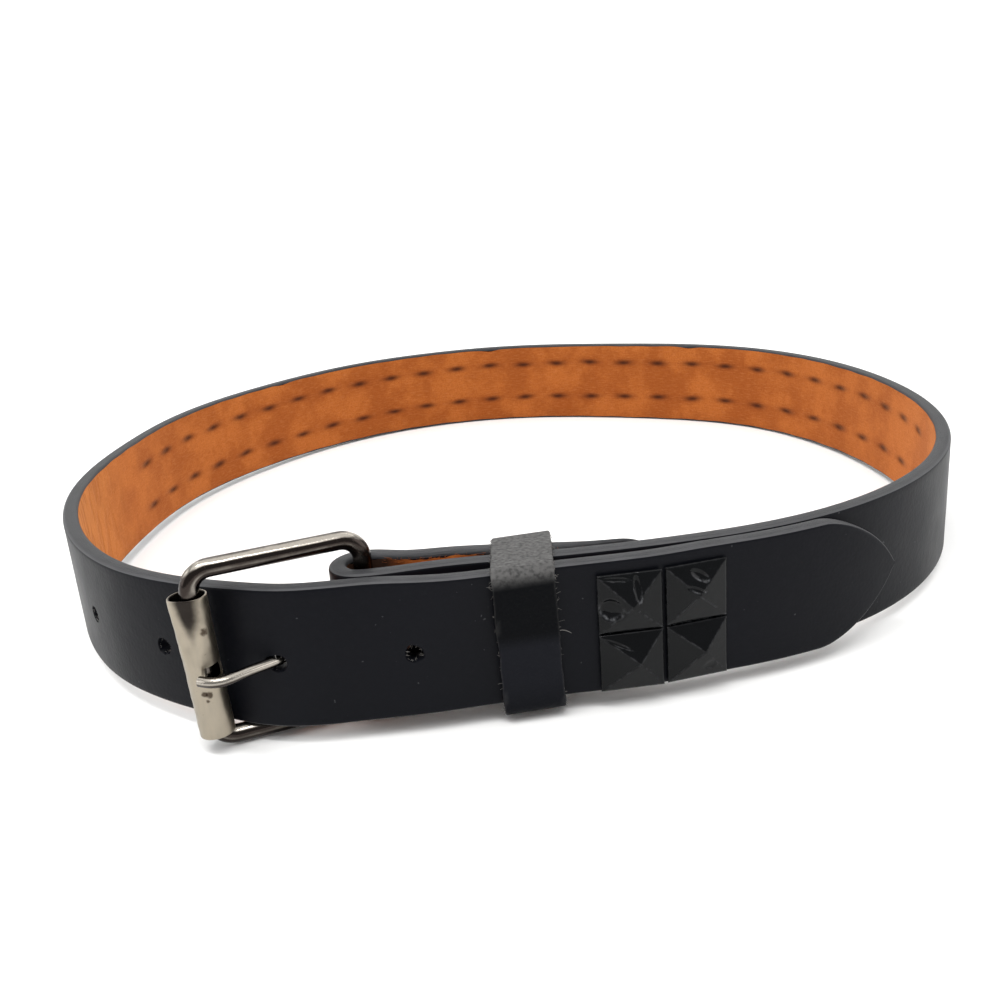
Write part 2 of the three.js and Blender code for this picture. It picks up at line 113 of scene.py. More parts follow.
# Studs. BLOCK_ is the two by two on the tail, whose studs are STUD_LONG along it. ROW_ is the two
# rows round the back. CLENCH_ is the marks of their bent legs inside: where the first one is from
# the middle of the back, their pitch, and the distance between the two lines of marks.
STUD = 13.1
STUD_LONG = 13.6
STUD_BAND = 0.5
STUD_PEAK = 2.6
STUD_GAP = 0.42
BLOCK_AFTER = 53.1
BLOCK_PITCH = 14.05
BLOCK_ROW_PITCH = 13.4
BLOCK_DROP = 1.15
ROW_COUNT = 28
ROW_PITCH = 14.15
ROW_SPREAD = 14.4
CLENCH_FIRST = -204.6
CLENCH_PITCH = 13.95
CLENCH_SPREAD = 13.8

# Mesh faces that meet at less than this many degrees are shaded as one
SMOOTH_BELOW = 42
STUD_SMOOTH_BELOW = 70

# The photograph's view: the viewpoint in the strap's frame, the angles in radians that it looks
# down and is rolled by, the focal length in pixels of a picture PICTURE pixels wide, and the
# sensor's width in millimetres
VIEWPOINT = (-4.8, -314.7, 113.6)
PITCH = 0.33865
ROLL = 0.07825
FOCAL = 1047.8
PICTURE = 1000
SENSOR = 36

# Upward normal of the plane that the belt stands on, in the strap's frame
REST_NORMAL = (-0.0059514, -0.0179059, 0.9998220)

# turn in degrees, reach as a share of half the loop's width and depth
LOOP_COURSE = np.array([
    (-105.4, 1.055), (-99, 1.012), (-90, 0.994), (-75, 1.006), (-60, 1.04), (-45, 1.056),
    (-30, 1.045), (-10, 1.011), (15, 0.991), (40, 0.991), (65, 0.952), (90, 0.978),
    (115, 0.991), (140, 0.971), (160, 0.975), (180, 0.988), (200, 1.051), (215, 1.107),
    (230, 1.154), (242, 1.157), (249, 1.146),
])
# along the flap, share of the fold's clear width, share of the wall
FLAP_COURSE = np.array([
    (0, 1, 1), (0.13, 0.56, 1), (0.28, 0.37, 1), (0.42, 0.24, 1), (0.55, 0.1, 0.98),
    (0.68, 0, 0.82), (0.82, 0, 0.45), (1, 0, 0.14),
])
# along the tail, share of the tail's lift
TAIL_COURSE = np.array([
    (0, 0.45), (0.1, 0.95), (0.18, 0.92), (0.3, 0.5), (0.42, 0.38), (0.5, 0.34),
    (0.58, 0.1), (0.68, 0.06), (0.8, 0.06), (0.92, 0.06), (1.06, 0.06),
])


def unit(v):
    """The vectors along the last axis at length 1."""
    return v / np.linalg.norm(v, axis=-1, keepdims=True)


def on_circle(angle):
    """Points (cosine, sine)."""
    return np.stack([np.cos(angle), np.sin(angle)], -1)


def turned(x, y, angle):
    """Two coordinates, turned by the angle."""
    return x * np.cos(angle) - y * np.sin(angle), x * np.sin(angle) + y * np.cos(angle)


def spline(knots, values, places):
    """Natural cubic spline: second derivatives M solve the tridiagonal system
    h0*M0 + 2(h0+h1)*M1 + h1*M2 = 6*(slope1 - slope0), and each span is the cubic they give."""
    h = np.diff(knots)
    slope = np.diff(values, axis=0) / h[:, None]
    system = np.eye(len(knots))
    right = np.zeros_like(values)
    inner = np.arange(1, len(knots) - 1)
    system[inner, inner - 1] = h[:-1]
    system[inner, inner] = 2 * (h[:-1] + h[1:])
    system[inner, inner + 1] = h[1:]
    right[1:-1] = 6 * np.diff(slope, axis=0)
    bends = np.linalg.solve(system, right)
    i = np.clip(np.searchsorted(knots, places) - 1, 0, len(h) - 1)
    b = ((places - knots[i]) / h[i])[:, None]
    a = 1 - b
    curved = ((a**3 - a) * bends[i] + (b**3 - b) * bends[i + 1]) * (h[i] ** 2)[:, None] / 6
    return a * values[i] + b * values[i + 1] + curved


class Line:
    """A smooth plan line through points, read by distance along it."""

    def __init__(self, points):
        knots = np.concatenate([[0], np.cumsum(np.linalg.norm(np.diff(points, axis=0), axis=1))])
        count = int(np.ceil(knots[-1] * 4))
        places = np.linspace(0, knots[-1], count + 1)
        self.xy = spline(knots, points, places)
        steps = np.linalg.norm(np.diff(self.xy, axis=0), axis=1)
        self.s = np.concatenate([[0], np.cumsum(steps)])
        self.stops = self.s[np.round(knots / knots[-1] * count).astype(int)]

    def point(self, s):
        return np.stack([np.interp(s, self.s, self.xy[:, k]) for k in (0, 1)], -1)

    def spot(self, s):
        """Point, direction along and direction out of the face at each distance."""
        s = np.asarray(s, float)
        ahead, behind = np.minimum(s + 0.4, self.s[-1]), np.maximum(s - 0.4, 0)
        along = unit(self.point(ahead) - self.point(behind))
        return self.point(s), along, np.stack([along[..., 1], -along[..., 0]], -1)

    def off(self, s, distance):
        point, _, face = self.spot(s)
        return point + face * np.asarray(distance)[..., None]


def strap_line():
    """The strip's middle line: flap, half circle of the fold, loop, tail, as one spline."""
    turn = np.radians(LOOP_COURSE[:, 0])
    rim = LOOP_COURSE[:, 1:] * on_circle(turn) * (LOOP_WIDTH / 2, LOOP_DEPTH / 2)
    loop = Line(rim)
    radius = (FOLD_CLEAR + WALL) / 2
    centre = loop.off(0.0, -radius)
    stand_off = LAYER_GAP + FLAP_COURSE[:, 1] * (FOLD_CLEAR - LAYER_GAP)
    flap = loop.off(FLAP_COURSE[:, 0] * FLAP, -WALL * (1 + FLAP_COURSE[:, 2]) / 2 - stand_off)
    face = loop.spot(0.0)[2]
    angle = np.arctan2(face[1], face[0]) + np.pi + np.radians([30, 60, 90, 120, 150])
    fold = centre + radius * on_circle(angle)
    tail = loop.off(TAIL_COURSE[:, 0] * TAIL_REACH, WALL + LAYER_GAP + TAIL_COURSE[:, 1] * TAIL_LIFT)
    line = Line(np.vstack([flap[::-1], fold, rim, tail]))
    start = len(flap) + len(fold)
    line.fold_centre = centre
    line.fold_from = line.stops[len(flap) - 1]
    line.fold_to = line.stops[start]
    line.back = line.stops[start + int(np.argmin(np.abs(LOOP_COURSE[:, 0] - 90)))]
    line.passing = line.stops[start + len(rim)]
    line.end = line.passing + TAIL_REACH
    return line


strap = strap_line()
hole_places = {k: strap.passing - PRONG_HOLE_BEFORE + k * HOLE_PITCH + slip
               for k, slip in HOLE_SLIPS.items()}


def wall_at(s):
    """The strip's thickness, pared towards the flap's end."""
    share = np.maximum(strap.fold_from - s, 0) / strap.fold_from
    return WALL * np.interp(share, FLAP_COURSE[:, 0], FLAP_COURSE[:, 2])


def half_height(s):
    """Half the strip's height. In the tip it is (1 - (1 - u)^1.6)^0.75 of the whole half, where u
    is the distance from the tail's end as a share of TIP."""
    share = np.clip((strap.end - s) / TIP, 0, 1)
    return np.maximum((1 - (1 - share) ** 1.6) ** 0.75 * WIDTH / 2, 0.5)


def lean_matrix():
    """Turns the resting plane's normal n onto +Z: I + K + K^2 / (1 + n.Z), where K is the cross
    matrix of n x Z."""
    n = unit(np.array(REST_NORMAL))
    v = np.cross(n, [0, 0, 1])
    k = np.array([[0, -v[2], v[1]], [v[2], 0, -v[0]], [-v[1], v[0], 0]])
    return np.eye(3) + k + k @ k / (1 + n[2])


def rounded_loop(corners, steps=8, runs=18):
    """Closed outline through four quarter ellipses joined by straight runs. Each corner gives its
    sharp point (across, up) and the ellipse's two radii, anticlockwise from the upper right."""
    arcs = []
    for quarter, (x, y, a, b) in enumerate(corners):
        angle = np.pi / 2 * (quarter + np.arange(steps + 1) / steps)
        arcs.append((x - np.sign(x) * a, y - np.sign(y) * b) + on_circle(angle) * (a, b))
    out = []
    for arc, after in zip(arcs, arcs[1:] + arcs[:1]):
        out += [arc, arc[-1] + (after[0] - arc[-1]) * (np.arange(1, runs) / runs)[:, None]]
    return np.vstack(out)


heel = strap.fold_centre
roller_point, roller_along, roller_face = strap.spot(strap.passing - ROLLER_BEFORE)
roller_bar = roller_point + roller_face * (WALL / 2 + ROLLER_GAP + ROLLER)


def frame_path(steps=10, runs=12):
    """The wire's line, a rounded rectangle with the heel bar and the roller's bar as its uprights,
    and the direction square to its plane."""
    half = np.linalg.norm(roller_bar - heel) / 2
    way = unit(roller_bar - heel)
    top = WIDTH + RAIL_RISE
    tall = (top + RAIL_DROP) / 2
    flat = rounded_loop([(x * half, y * tall, CORNER, CORNER)
                         for x, y in ((1, 1), (-1, 1), (-1, -1), (1, -1))], steps, runs)
    plan = (heel + roller_bar) / 2 + flat[:, :1] * way
    return np.column_stack([plan, (top - RAIL_DROP) / 2 + flat[:, 1]]), np.array([way[1], -way[0], 0])


LEAN = lean_matrix()
leaned = frame_path()[0] @ LEAN.T
low, high = (np.array(corner) * 1000 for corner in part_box("buckle_frame"))
SHIFT = (low + high) / 2 - (leaned.min(0) + leaned.max(0)) / 2


def placed(points):
    """Strap frame in millimetres to the part's frame in metres."""
    return (np.asarray(points, float) @ LEAN.T + SHIFT) / 1000


def linear(text):
    """sRGB hex to linear RGBA."""
    value = np.array([int(text[i:i + 2], 16) for i in (1, 3, 5)]) / 255
    value = np.where(value <= 0.04045, value / 12.92, ((value + 0.055) / 1.055) ** 2.4)
    return (*map(float, value), 1.0)


class Value:
    """What a shader node gives out. Arithmetic with it adds math nodes to its tree."""

    def __init__(self, tree, socket):
        self.tree, self.socket = tree, socket

    def math(self, operation, other=0.0):
        return node(self.tree, "ShaderNodeMath", {0: self, 1: other}, operation=operation)

    def __add__(self, other):
        return self.math("ADD", other)

    def __sub__(self, other):
        return self.math("SUBTRACT", other)

    def __mul__(self, other):
        return self.math("MULTIPLY", other)

    def __truediv__(self, other):
        return self.math("DIVIDE", other)


def feed(tree, made, inputs):
    """Links each Value to its input of the node, and sets the other inputs."""
    for key, value in inputs.items():
        if isinstance(value, Value):
            tree.links.new(value.socket, made.inputs[key])
        else:
            made.inputs[key].default_value = value


def node(tree, kind, inputs=None, output=0, **settings):
    """Adds one shader node and gives the named or numbered output."""
    made = tree.nodes.new(kind)
    for key, value in settings.items():
        setattr(made, key, value)
    feed(tree, made, inputs or {})
    return Value(tree, made.outputs[output])


def coords(tree):
    return node(tree, "ShaderNodeTexCoord", output="Object")


def attribute(tree, name, output="Fac"):
    return node(tree, "ShaderNodeAttribute", output=output, attribute_name=name)


def axis(vector, k):
    return node(vector.tree, "ShaderNodeSeparateXYZ", {0: vector}, k)


def ramp(value, low, high, to_low=0.0, to_high=1.0):
    """Smooth step of a value from low and high to to_low and to_high."""
    return node(value.tree, "ShaderNodeMapRange",
                {"Value": value, "From Min": low, "From Max": high, "To Min": to_low,
                 "To Max": to_high}, interpolation_type="SMOOTHSTEP")


def mixed(share, a, b):
    """Colour a where the share is 0 and b where it is 1, each an sRGB hex or a Value."""
    a, b = (linear(colour) if isinstance(colour, str) else colour for colour in (a, b))
    return node(share.tree, "ShaderNodeMix", {0: share, 6: a, 7: b}, 2, data_type="RGBA")


def layered(colour, *layers):
    """Lays colours over one another, each (share, colour)."""
    for share, over in layers:
        colour = mixed(share, colour, over)
    return colour


def noise(vector, millimetres, detail=2.0, roughness=0.5):
    """Noise whose largest lumps are about the given size."""
    return node(vector.tree, "ShaderNodeTexNoise", {"Vector": vector, "Scale": 1000 / millimetres,
                "Detail": detail, "Roughness": roughness}, "Fac")


def strip_noise(tree, along_mm, across_mm, detail, roughness=0.5):
    """Noise in the strap's own coordinates, its lumps along_mm long and across_mm high. The
    vector counts lumps and not metres, so its scale is 1."""
    lumps = node(tree, "ShaderNodeVectorMath", {0: attribute(tree, "strip", "Vector"),
                 1: (1 / along_mm, 1 / across_mm, 1 / across_mm)}, operation="MULTIPLY")
    return noise(lumps, 1000, detail, roughness)


def cells(vector, millimetres, feature):
    return node(vector.tree, "ShaderNodeTexVoronoi", {"Vector": vector, "Scale": 1000 / millimetres},
                "Distance", feature=feature)


def bumped(height, depth_mm, under=None):
    inputs = {"Height": height, "Distance": depth_mm / 1000, "Strength": 1.0}
    if under is not None:
        inputs["Normal"] = under
    return node(height.tree, "ShaderNodeBump", inputs)


def plug(made, **inputs):
    """Sets or links the sockets of a material's Principled shader, named with _ for a space."""
    tree = made.node_tree
    feed(tree, tree.nodes["Principled BSDF"],
         {key.replace("_", " "): value for key, value in inputs.items()})
    return made


def material(name, **constants):
    """A new material with constants set on its Principled shader, and its node tree."""
    made = bpy.data.materials.new(name)
    made.use_nodes = True
    return plug(made, **constants), made.node_tree


def coated_leather():
    """Split leather with a smooth black polyurethane coat: even satin sheen, tiny pores, slight
    orange peel, a little dust and faint rub marks along the strap."""
    made, tree = material("coated_black_leather", IOR=1.46, Specular_IOR_Level=0.085)
    place = coords(tree)
    broad = noise(place, 22.0, 3.0)
    markings = ramp(strip_noise(tree, 9.0, 0.35, 3.0), 0.66, 0.78)
    dust = ramp(noise(place, 1.1, 1.0), 0.775, 0.82)
    pores = bumped(cells(place, 0.9, "F1"), 0.02)
    colour = layered(mixed(broad, "#0b0c10", "#101116"), (dust * 0.22, "#6a6b6d"))
    return plug(made, Base_Color=colour,
                Roughness=ramp(broad, 0.3, 0.7, 0.36, 0.44) + markings * 0.08,
                Normal=bumped(noise(place, 3.0, 3.0), 0.05, pores))


def edge_paint():
    """Cut leather edge under grey-black acrylic paint: matte, with the packed fibres showing as
    fine lines along the edge and a paler worn arris."""
    made, tree = material("painted_leather_edge", IOR=1.46, Specular_IOR_Level=0.25)
    fibre = strip_noise(tree, 4.0, 0.32, 4.0, 0.65)
    colour = layered(mixed(ramp(fibre, 0.3, 0.7), "#242527", "#3c3c3e"),
                     (ramp(noise(coords(tree), 7.0, 3.0), 0.4, 0.75) * 0.35, "#1d1d1f"),
                     (attribute(tree, "arris") * 0.35, "#68686a"))
    return plug(made, Base_Color=colour, Roughness=ramp(fibre, 0.2, 0.8, 0.45, 0.62),
                Normal=bumped(fibre, 0.12))


def suede():
    """Brushed flesh side of the hide, dyed orange: no gloss, a short nap that catches the light,
    cloudy dye, creases where the strap bends hard with painted shade darkening their grooves,
    dark slits where the stud legs are clenched, and painted shade inside the fold and in the
    wedge at the flap's end."""
    made, tree = material("orange_suede", IOR=1.45, Specular_IOR_Level=0.15, Sheen_Weight=0.3,
                          Sheen_Roughness=0.45, Sheen_Tint=linear("#ffb27a"))
    place = coords(tree)
    nap = noise(place, 0.55, 4.0, 0.7)
    strip = attribute(tree, "strip", "Vector")
    first_edge = strap.back + CLENCH_FIRST - CLENCH_PITCH / 2
    leg = (axis(strip, 0) - first_edge) / CLENCH_PITCH
    step = leg.math("FRACT") - 0.5
    across = (axis(strip, 1) - WIDTH / 2).math("ABSOLUTE") - CLENCH_SPREAD / 2
    across = across + (noise(place, 9.0, 1.0) - 0.5) * 1.4
    within = leg.math("GREATER_THAN", 0.0) * leg.math("LESS_THAN", float(ROW_COUNT))

    def slit(length, breadth):
        """Gaussian spot of the given half length and half breadth about each clenched leg."""
        a = (step * CLENCH_PITCH / length).math("POWER", 2.0)
        b = (across.math("ABSOLUTE") / breadth).math("POWER", 2.0)
        return ((a + b) * -1.0).math("EXPONENT") * within

    dark, halo = slit(2.7, 0.85), slit(4.6, 1.35)
    bend = attribute(tree, "bend")
    # The creases darken the colour as well as the bump: painted shade in their grooves.
    crease = ramp(strip_noise(tree, 4.6, 13.0, 3.0, 0.6), 0.54, 0.4) * bend
    # Over the dye and the real marks, the last layer is painted shade: dark brown inside the fold and
    # in the wedge at the flap's end.
    colour = layered(mixed(ramp(noise(place, 14.0, 4.0, 0.6), 0.38, 0.64), "#97501f", "#af632b"),
                     (ramp(nap, 0.35, 0.7) * 0.45, "#803c16"),
                     (ramp(strip_noise(tree, 2.6, 0.5, 3.0), 0.45, 0.75) * 0.25, "#c27b47"),
                     (bend * 0.45, "#c48140"), (crease * 0.5, "#86471c"), (halo * 0.6, "#6d2f12"),
                     (dark * 0.85, "#2e150b"), (attribute(tree, "soil"), "#1b1412"))
    return plug(made, Base_Color=colour, Roughness=ramp(nap, 0.3, 0.7, 0.85, 0.97),
                Normal=bumped(dark * -1.0 + crease * -0.6, 0.5, bumped(nap, 0.14)))


def grained_leather():
    """Embossed black leather of the keeper: pebble grain, matte, rubbed grey where it rolls over
    the strap's top edge, and a painted highlight: a lighter band across the lower half of its
    front, fading towards the bottom."""
    made, tree = material("grained_keeper_leather", IOR=1.46, Specular_IOR_Level=0.06)
    place = coords(tree)
    cloud = noise(place, 3.0, 3.0)
    markings = attribute(tree, "worn") * ramp(noise(place, 0.9, 3.0), 0.25, 0.65, 0.45, 1.0)
    height = axis(place, 2)
    # Painted highlight: a lighter band across the lower half, fading towards the bottom.
    painted_sheen_band = ramp(height, 0.0215, 0.0175) * ramp(height, 0.0, 0.012, 0.35, 1.0)
    colour = layered(mixed(cloud, "#030406", "#07080b"), (painted_sheen_band, "#15161b"),
                     (markings * 0.8, "#605f5e"))
    return plug(made, Base_Color=colour, Roughness=ramp(cloud, 0.3, 0.7, 0.42, 0.55),
                Normal=bumped(cells(place, 0.75, "SMOOTH_F1"), 0.12))


def leather_fibre(name, dark, light):
    """Loose collagen fibres at a cut leather edge: matte, each a little lighter or darker."""
    made, tree = material(name, IOR=1.45, Roughness=0.8, Specular_IOR_Level=0.2)
    return plug(made, Base_Color=mixed(noise(coords(tree), 2.0), dark, light))


def nickel(name, rough, spots=(), bright="#a59f96", dull="#352f2c"):
    """Nickel plate on steel, years in use: bright on top and brown-black below and in hollows, set
    by a per-point attribute that is partly real polish and tarnish and partly a painted highlight
    on top and painted shade below; fine scratches and a few pits. Each spot is the place and the
    radius in millimetres of a ragged rust mark."""
    made, tree = material(name, Metallic=1.0)
    place = coords(tree)
    cloud = noise(place, 5.0, 4.0, 0.6)
    stretched = node(tree, "ShaderNodeMapping", {"Vector": place, "Scale": (900.0, 900.0, 160.0)})
    scratch = noise(stretched, 1000, 5.0, 0.7)
    # The mask is partly tarnish and partly painted shade below, with a painted highlight on top.
    uneven = attribute(tree, "tarnish_and_shading") + (cloud - 0.5) * 0.5
    colour = layered(mixed(ramp(scratch, 0.35, 0.7, 0.0, 0.25), bright, "#8b857c"),
                     (ramp(uneven, 0.2, 0.9), dull),
                     (ramp(noise(place, 0.8, 2.0), 0.70, 0.78) * 0.35, "#4f463c"))
    roughness = ramp(cloud, 0.3, 0.7, rough, rough + 0.1) + ramp(scratch, 0.5, 0.75, 0.0, 0.12)
    for spot, size in spots:
        gap = node(tree, "ShaderNodeVectorMath", {0: place, 1: tuple(spot)}, "Value",
                   operation="DISTANCE")
        ragged = gap + (noise(place, 0.7, 3.0) - 0.5) * (0.9 * size / 1000)
        rust = ramp(ragged, size / 1000, 0.35 * size / 1000)
        colour = mixed(rust * 0.75, colour, "#43342a")
        roughness = roughness + rust * 0.4
    return plug(made, Base_Color=colour, Roughness=roughness, Normal=bumped(scratch, 0.012))


def enamel():
    """Pressed steel stud under baked black enamel: deep black, wet gloss, faint orange peel,
    greyed by a per-point attribute: worn along the ridges and the rim, and painted highlights at
    the dents' rims."""
    made, tree = material("black_stud_enamel", IOR=1.5, Specular_IOR_Level=0.14)
    place = coords(tree)
    # Wear on the ridges, and painted highlight arcs at the dents' rims.
    chips_and_glints = attribute(tree, "worn") * ramp(noise(place, 1.2, 3.0), 0.4, 0.65)
    colour = layered(mixed(noise(place, 6.0), "#060708", "#0c0d0f"), (chips_and_glints * 0.45, "#6a6b6e"))
    return plug(made, Base_Color=colour,
                Roughness=ramp(noise(place, 2.5, 3.0), 0.3, 0.7, 0.05, 0.11),
                Normal=bumped(noise(place, 1.8, 2.0), 0.03))


def grid_faces(rows, cols, wrap_rows=False, wrap_cols=False):
    """Quads of a grid whose vertex (i, j) has number i * cols + j."""
    i = np.arange(rows if wrap_rows else rows - 1)[:, None]
    j = np.arange(cols if wrap_cols else cols - 1)[None, :]
    a, b = i * cols + j, i * cols + (j + 1) % cols
    c, d = (i + 1) % rows * cols + (j + 1) % cols, (i + 1) % rows * cols + j
    return np.stack([a, b, c, d], -1).reshape(-1, 4)


def linked(name, data):
    """A new object in the scene."""
    made = bpy.data.objects.new(name, data)
    bpy.context.scene.collection.objects.link(made)
    return made


def mesh_of(name, points, faces, looks=(), fields=None, look_of_face=None, angle=SMOOTH_BELOW):
    """A mesh object from strap-frame points. Its faces are turned outwards as a whole: the sum
    of corner . (edge x edge) over the faces is six times the volume, and is made positive."""
    points = placed(np.asarray(points).reshape(-1, 3))
    volume = 0.0
    middle = points.mean(0)
    for block in faces:
        p = points[block] - middle
        for k in range(1, block.shape[1] - 1):
            volume += np.einsum("ij,ij->", p[:, 0], np.cross(p[:, k], p[:, k + 1]))
    if volume < 0:
        faces = [block[:, ::-1] for block in faces]
    mesh = bpy.data.meshes.new(name)
    mesh.from_pydata(points.tolist(), [], [face for block in faces for face in block.tolist()])
    for look in looks:
        mesh.materials.append(look)
    if look_of_face is not None:
        mesh.polygons.foreach_set("material_index", np.asarray(look_of_face, np.int32))
    for key, values in (fields or {}).items():
        values = np.asarray(values, np.float32)
        vector = values.ndim > 1
        layer = mesh.attributes.new(key, "FLOAT_VECTOR" if vector else "FLOAT", "POINT")
        layer.data.foreach_set("vector" if vector else "value", values.ravel())
    mesh.polygons.foreach_set("use_smooth", np.ones(len(mesh.polygons), bool))
    mesh.set_sharp_from_angle(angle=np.radians(angle))
    return linked(name, mesh)


def piece(made, slot, *nodes):
    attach(made, "root")
    if nodes:
        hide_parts(*nodes)


def closed_rings(rings):
    """Points and faces of a skin over rings of points, each end closed by a fan of triangles round
    its middle. The two middles are the last points."""
    rows, cols = rings.shape[:2]
    points = np.vstack([rings.reshape(-1, 3), rings[0].mean(0), rings[-1].mean(0)])
    j = np.arange(cols)
    k, last, middle = (j + 1) % cols, (rows - 1) * cols, np.full(cols, rows * cols)
    fans = np.vstack([np.stack([middle, k, j], -1), np.stack([middle + 1, last + j, last + k], -1)])
    return points, [grid_faces(rows, cols, False, True), fans]


def merged(shapes):
    """Joins shapes, each (points, [quads, triangles]), into one."""
    points, quads, triangles, base = [], [], [], 0
    for spots, (four, three) in shapes:
        points.append(spots)
        quads.append(four + base)
        triangles.append(three + base)
        base += len(spots)
    return np.vstack(points), [np.vstack(quads), np.vstack(triangles)]


def sweep(path, radius, normal, sides, joined=False):
    """A tube: at each point of the path a circle square to the path's way, whose first point is
    square to the normal too. radius is one number or one per point."""
    path = np.asarray(path, float)
    ahead = unit(np.roll(path, -1, 0) - np.roll(path, 1, 0) if joined else np.gradient(path, axis=0))
    side = unit(np.cross(normal, ahead))
    rise = np.cross(ahead, side)
    angle = (2 * np.pi * np.arange(sides) / sides)[:, None]
    radius = np.broadcast_to(radius, len(path))[:, None, None]
    rings = path[:, None] + radius * (side[:, None] * np.cos(angle) + rise[:, None] * np.sin(angle))
    if joined:
        return rings.reshape(-1, 3), [grid_faces(len(path), sides, True, True)]
    return closed_rings(rings)


def cut(target, cutters):
    """Takes the cutters' shapes out of a piece's mesh and removes them."""
    group = bpy.data.collections.new(target.name + "_cuts")
    bpy.context.scene.collection.children.link(group)
    for cutter in cutters:
        bpy.context.scene.collection.objects.unlink(cutter)
        group.objects.link(cutter)
    tool = target.modifiers.new("cuts", "BOOLEAN")
    tool.operation = "DIFFERENCE"
    tool.operand_type = "COLLECTION"
    tool.collection = group
    tool.solver = "EXACT"
    bpy.context.view_layer.update()
    cut_target = target.evaluated_get(bpy.context.evaluated_depsgraph_get())
    done = bpy.data.meshes.new_from_object(cut_target)
    target.modifiers.clear()
    old = target.data
    target.data = done
    bpy.data.meshes.remove(old)
    done.name = target.name
    done.set_sharp_from_angle(angle=np.radians(SMOOTH_BELOW))
    for cutter in cutters:
        bpy.data.objects.remove(cutter)
    bpy.data.collections.remove(group)


def on_face(s, height, local):
    """Points given as (along, up, out of the face) about one spot of the strap's outer face."""
    point, along, face = strap.spot(s)
    local = np.asarray(local, float)
    plan = point + along * local[..., :1] + face * (WALL / 2 + local[..., 2:])
    return np.concatenate([plan, height + local[..., 1:2]], -1)


def wobbly(angle, size, count):
    """Sum of a few seeded sines round a circle, for a ragged rim."""
    total = np.zeros_like(angle)
    for k in range(2, 2 + count):
        total += rng.normal() * np.cos(k * angle + rng.uniform(0, 6.3)) / k**0.6
    return size * total


def prism(name, outline, foot, along, face, depths):
    """A cutter: an outline in (along, up) about a foot point, carried through depths of the face."""
    return mesh_of(name, *closed_rings(np.stack([
        foot + np.column_stack([outline[:, :1] * along + face * depth, outline[:, 1]])
        for depth in depths])))


def hole_cutters(wider=0.0):
    """Ragged punches through the tail, a tube along the prong's way and the fold's slot."""
    cutters = []
    angle = 2 * np.pi * np.arange(HOLE_RIM) / HOLE_RIM
    depth = np.array([0.6, 0.0, -0.35, -WALL - 0.35])[:, None]
    flare = np.array([0.45, 0.22, 0.0, 0.0])[:, None]
    for k, spot in hole_places.items():
        ring = HOLE_RADIUS + wider + wobbly(angle, 0.09, 8) + flare
        local = np.stack([ring * np.cos(angle), ring * np.sin(angle),
                          np.broadcast_to(depth, ring.shape)], -1)
        cutters.append(mesh_of(f"punch_{k}", *closed_rings(on_face(spot, HOLE_HEIGHT, local))))
    way = sweep(prong_outside, PRONG + PRONG_GAP + wider / 2, (0, 0, 1), 24)
    _, along, face = strap.spot(strap.fold_to)
    deep, half = FOLD_CLEAR / 2 + WALL + LAYER_GAP, SLOT_HEIGHT / 2
    angle = np.linspace(-np.pi / 2, np.pi / 2, 17)
    arc = half * on_circle(angle) + (SLOT_LENGTH - half, 0)
    outline = np.vstack([[(-deep, -half)], arc, [(-deep, half)]])
    return cutters + [mesh_of("prong_way", *way),
                      prism("slot", outline, [*heel, HOLE_HEIGHT], along, face, (-deep, deep))]


def prong_path():
    """Open eye round the heel bar, straight shank through the hole, a bend, then the end laid
    on the roller. Returns the eye and the rest."""
    hole = strap.spot(hole_places[0])[0]
    eye_radius = WIRE + PRONG_GAP + PRONG
    to_hole = hole - heel
    leaves = np.arctan2(to_hole[1], to_hole[0]) - np.arccos(eye_radius / np.linalg.norm(to_hole))
    angle = leaves - np.radians(EYE_TURN) * (1 - np.arange(41) / 40)
    eye = heel + eye_radius * on_circle(angle)
    shank = unit(hole - eye[-1])
    rest = roller_bar + roller_face * (ROLLER + PRONG + LAYER_GAP)
    tip = rest + roller_along * PRONG_SHORT
    reach = np.linalg.det([rest - hole, roller_along]) / np.linalg.det([shank, roller_along])
    bend = hole + shank * reach
    run = 3 * PRONG
    a, c = bend - shank * run, bend + unit(tip - bend) * run
    t = np.linspace(0, 1, 14)[:, None]
    bent = (1 - t) ** 2 * a + 2 * t * (1 - t) * bend + t**2 * c
    behind = hole - shank * 1.6 * WALL
    straight = hole + (a - hole) * np.linspace(0, 1, 8)[:-1, None]
    end = c + (tip - c) * np.linspace(0, 1, 8)[1:, None]
    plan = np.vstack([behind, straight, bent, end])
    far = np.linalg.norm(plan - hole, axis=1)
    far[0] = 0
    share = far / np.linalg.norm(hole - tip)
    height = HOLE_HEIGHT + PRONG_RISE * np.interp(share, [0, 0.45, 0.7, 1], [0, 0.5, 0.5, 0.25])
    outside = np.column_stack([plan, height])
    return np.column_stack([eye, np.full(len(eye), HOLE_HEIGHT)]), outside


prong_eye, prong_outside = prong_path()


def stations():
    """Distances along the strip: close in the fold, bunched by a sine at the tip."""
    tip = strap.end - TIP * (1 - np.sin(np.pi / 2 * np.linspace(0, 1, 44)))
    return np.concatenate([
        np.arange(0, strap.fold_from - 4, 0.7),
        np.arange(strap.fold_from - 4, strap.fold_to + 4, 0.4),
        np.arange(strap.fold_to + 4, strap.end - TIP, 1.4)[1:],
        tip,
    ])


def strip_grid(s, off, z):
    """Grid of points: at each distance s, offsets off and heights z across the section. Where
    the strap crosses the buckle it leans, its lower edge out and its upper edge back."""
    point, _, face = strap.spot(s)
    lean = np.interp(s - strap.passing, [-62, -40, -22, 0, 22], [0, 0.45, 1, 0.85, 0])
    lean = lean * lean * (3 - 2 * lean)
    off = off - lean[:, None] * (STRAP_LEAN * (z - WIDTH / 2) / (WIDTH / 2) + STRAP_BACK)
    plan = point[:, None] + face[:, None] * off[..., None]
    return np.concatenate([plan, z[..., None]], -1)


